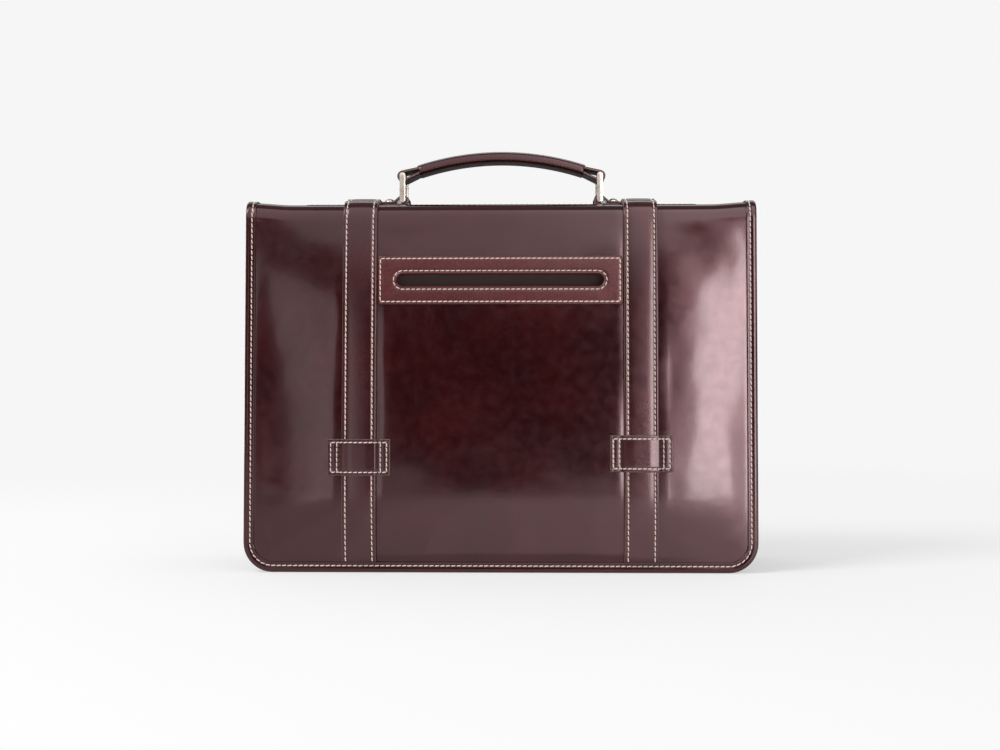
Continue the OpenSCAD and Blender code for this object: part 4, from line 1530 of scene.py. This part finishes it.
def floor():
    """Pale paper floor. Away from the object it takes the room's own tone, so that no horizon shows."""
    mesh = bpy.data.meshes.new("floor")
    corners = ((-1, -1), (1, -1), (1, 1), (-1, 1))
    mesh.from_pydata([(x * FLOOR_REACH, y * FLOOR_REACH, 0) for x, y in corners], [], [(0, 1, 2, 3)])
    obj = bpy.data.objects.new("floor", mesh)
    bpy.context.scene.collection.objects.link(obj)
    material, tree, shader, where = start(
        "pale_floor", Roughness=0.9, Specular_IOR_Level=0.0, Base_Color=grey(FLOOR_TONE),
        Emission_Color=WHITE, Emission_Strength=FLOOR_GLOW)
    far = add_node(tree, "Emission", Color=grey(PAPER))
    distance = add_node(tree, "VectorMath", settings={"operation": "LENGTH"})
    tree.links.new(where, distance.inputs[0])
    fade = add_node(tree, "MapRange", {"Value": distance.outputs["Value"]},
                    {"interpolation_type": "SMOOTHSTEP"}, From_Min=0.55, From_Max=1.5)
    paper = either(tree, fade.outputs[0], shader.outputs[0], far.outputs[0])
    tree.links.new(paper, tree.nodes["Material Output"].inputs["Surface"])
    mesh.materials.append(material)


def surroundings():
    """Pale room. Gloss on the rear mirrors its unlit end, and gloss elsewhere a dim, even glow."""
    world = bpy.data.worlds.new("studio")
    world.use_nodes = True
    tree = world.node_tree
    paths = add_node(tree, "LightPath")
    seen = tree.nodes["Background"]
    seen.inputs["Color"].default_value = grey(PAPER)
    where = add_node(tree, "TexCoord").outputs["Generated"]
    depth = calc(tree, "ABSOLUTE", add_node(tree, "SeparateXYZ", {"Vector": where}).outputs["Y"], 0)
    mirrored = add_node(tree, "Background", {"Strength": scaled(tree, depth, 0.02, 0.3, 0.92, 0.35)})
    soft = add_node(tree, "Background", Strength=ROOM_GLOW)
    unseen = either(tree, paths.outputs["Is Glossy Ray"], soft.outputs[0], mirrored.outputs[0])
    room = either(tree, paths.outputs["Is Camera Ray"], unseen, seen.outputs[0])
    tree.links.new(room, tree.nodes["World Output"].inputs["Surface"])
    bpy.context.scene.world = world
    bpy.context.scene.view_settings.view_transform = "Standard"


def lights():
    """One key lamp, and soft boxes that only the gloss shows.

    Lamps in one plane hide each other, so those of a row stand a little apart.
    """
    middle = (0, 0, 0.15)
    softbox("key", (-2.0, -1.4, 2.4), middle, (1.4, 1.4), 7.5)
    softbox("upper_front", (0, -0.98, 1.27), (0, 0.02, 0.29), (2.6, 1.8), 1.5, False)
    for n, edge in enumerate((0.0, 0.1, 0.2, 0.3)):
        across, back = (edge + 1.3) / 2, 0.02 * (n + 1)
        place = (across, -0.98 - back, 1.27 + back)
        softbox(f"upper_right_{n}", place, (across, 0.02, 0.29), (1.3 - edge, 1.8), 0.3, False)
    softbox("right_box", (0.59, -1.62, 0.33), (0.59, 0, 0.33), (0.18, 0.72), 14, False)
    softbox("far_right_box", (1.15, -1.62, 0.33), (1.15, 0, 0.33), (0.94, 0.72), 4.5, False)
    for n in range(7):
        edge = -0.2 + 0.07 * n
        across, high = (edge + 1.1) / 2, 0.003 + 0.0005 * n
        place, above = (across, -0.67, high), (across, -0.67, 1)
        softbox(f"floor_right_{n}", place, above, (1.1 - edge, 1.18), 0.15, False)
    softbox("left_box", (-0.555, -1.64, 0.25), (-0.555, 0, 0.25), (0.23, 0.5), 1.7, False)
    softbox("upper_back", (0, 1.3, 1.6), (0, 0, 0.3), (2.6, 0.8), 1.2, False)
    softbox("back_left_box", (-1.5, 1.3, 0.4), middle, (0.8, 0.8), 5, False)
    softbox("back_right_box", (1.5, 1.3, 0.4), middle, (0.5, 0.8), 3, False)
    softbox("side_right", (1.9, 0.1, 0.75), middle, (0.9, 0.8), 2.2, False)
    softbox("side_left", (-1.9, 0.1, 0.75), middle, (0.9, 0.8), 2.2, False)


# ---- Build ----

camera()
floor()
surroundings()
lights()
rear_skin()
flap_skin()
flap_inside()
front_skin()
bindings()
rear_straps()
front_straps()
keepers()
pocket_facing()
pocket_liner()
gusset_walls()
flat_board("base_board_cloth", 173, 46, CENTRE_Y, 9.05, 11.0, BOARD, "case", "board", "base_board")
flat_board("top_board_cloth", 156.5, 22.5, TOP_Y, BODY_H - LEATHER - 3, BODY_H - LEATHER - 0.02, BOARD,
           "top", "board", "top_board")
divider()
top_strip()
handle_tabs()
handle_grip()
buckle_tabs()
strap_loops()
ring_tabs()
metal_parts()
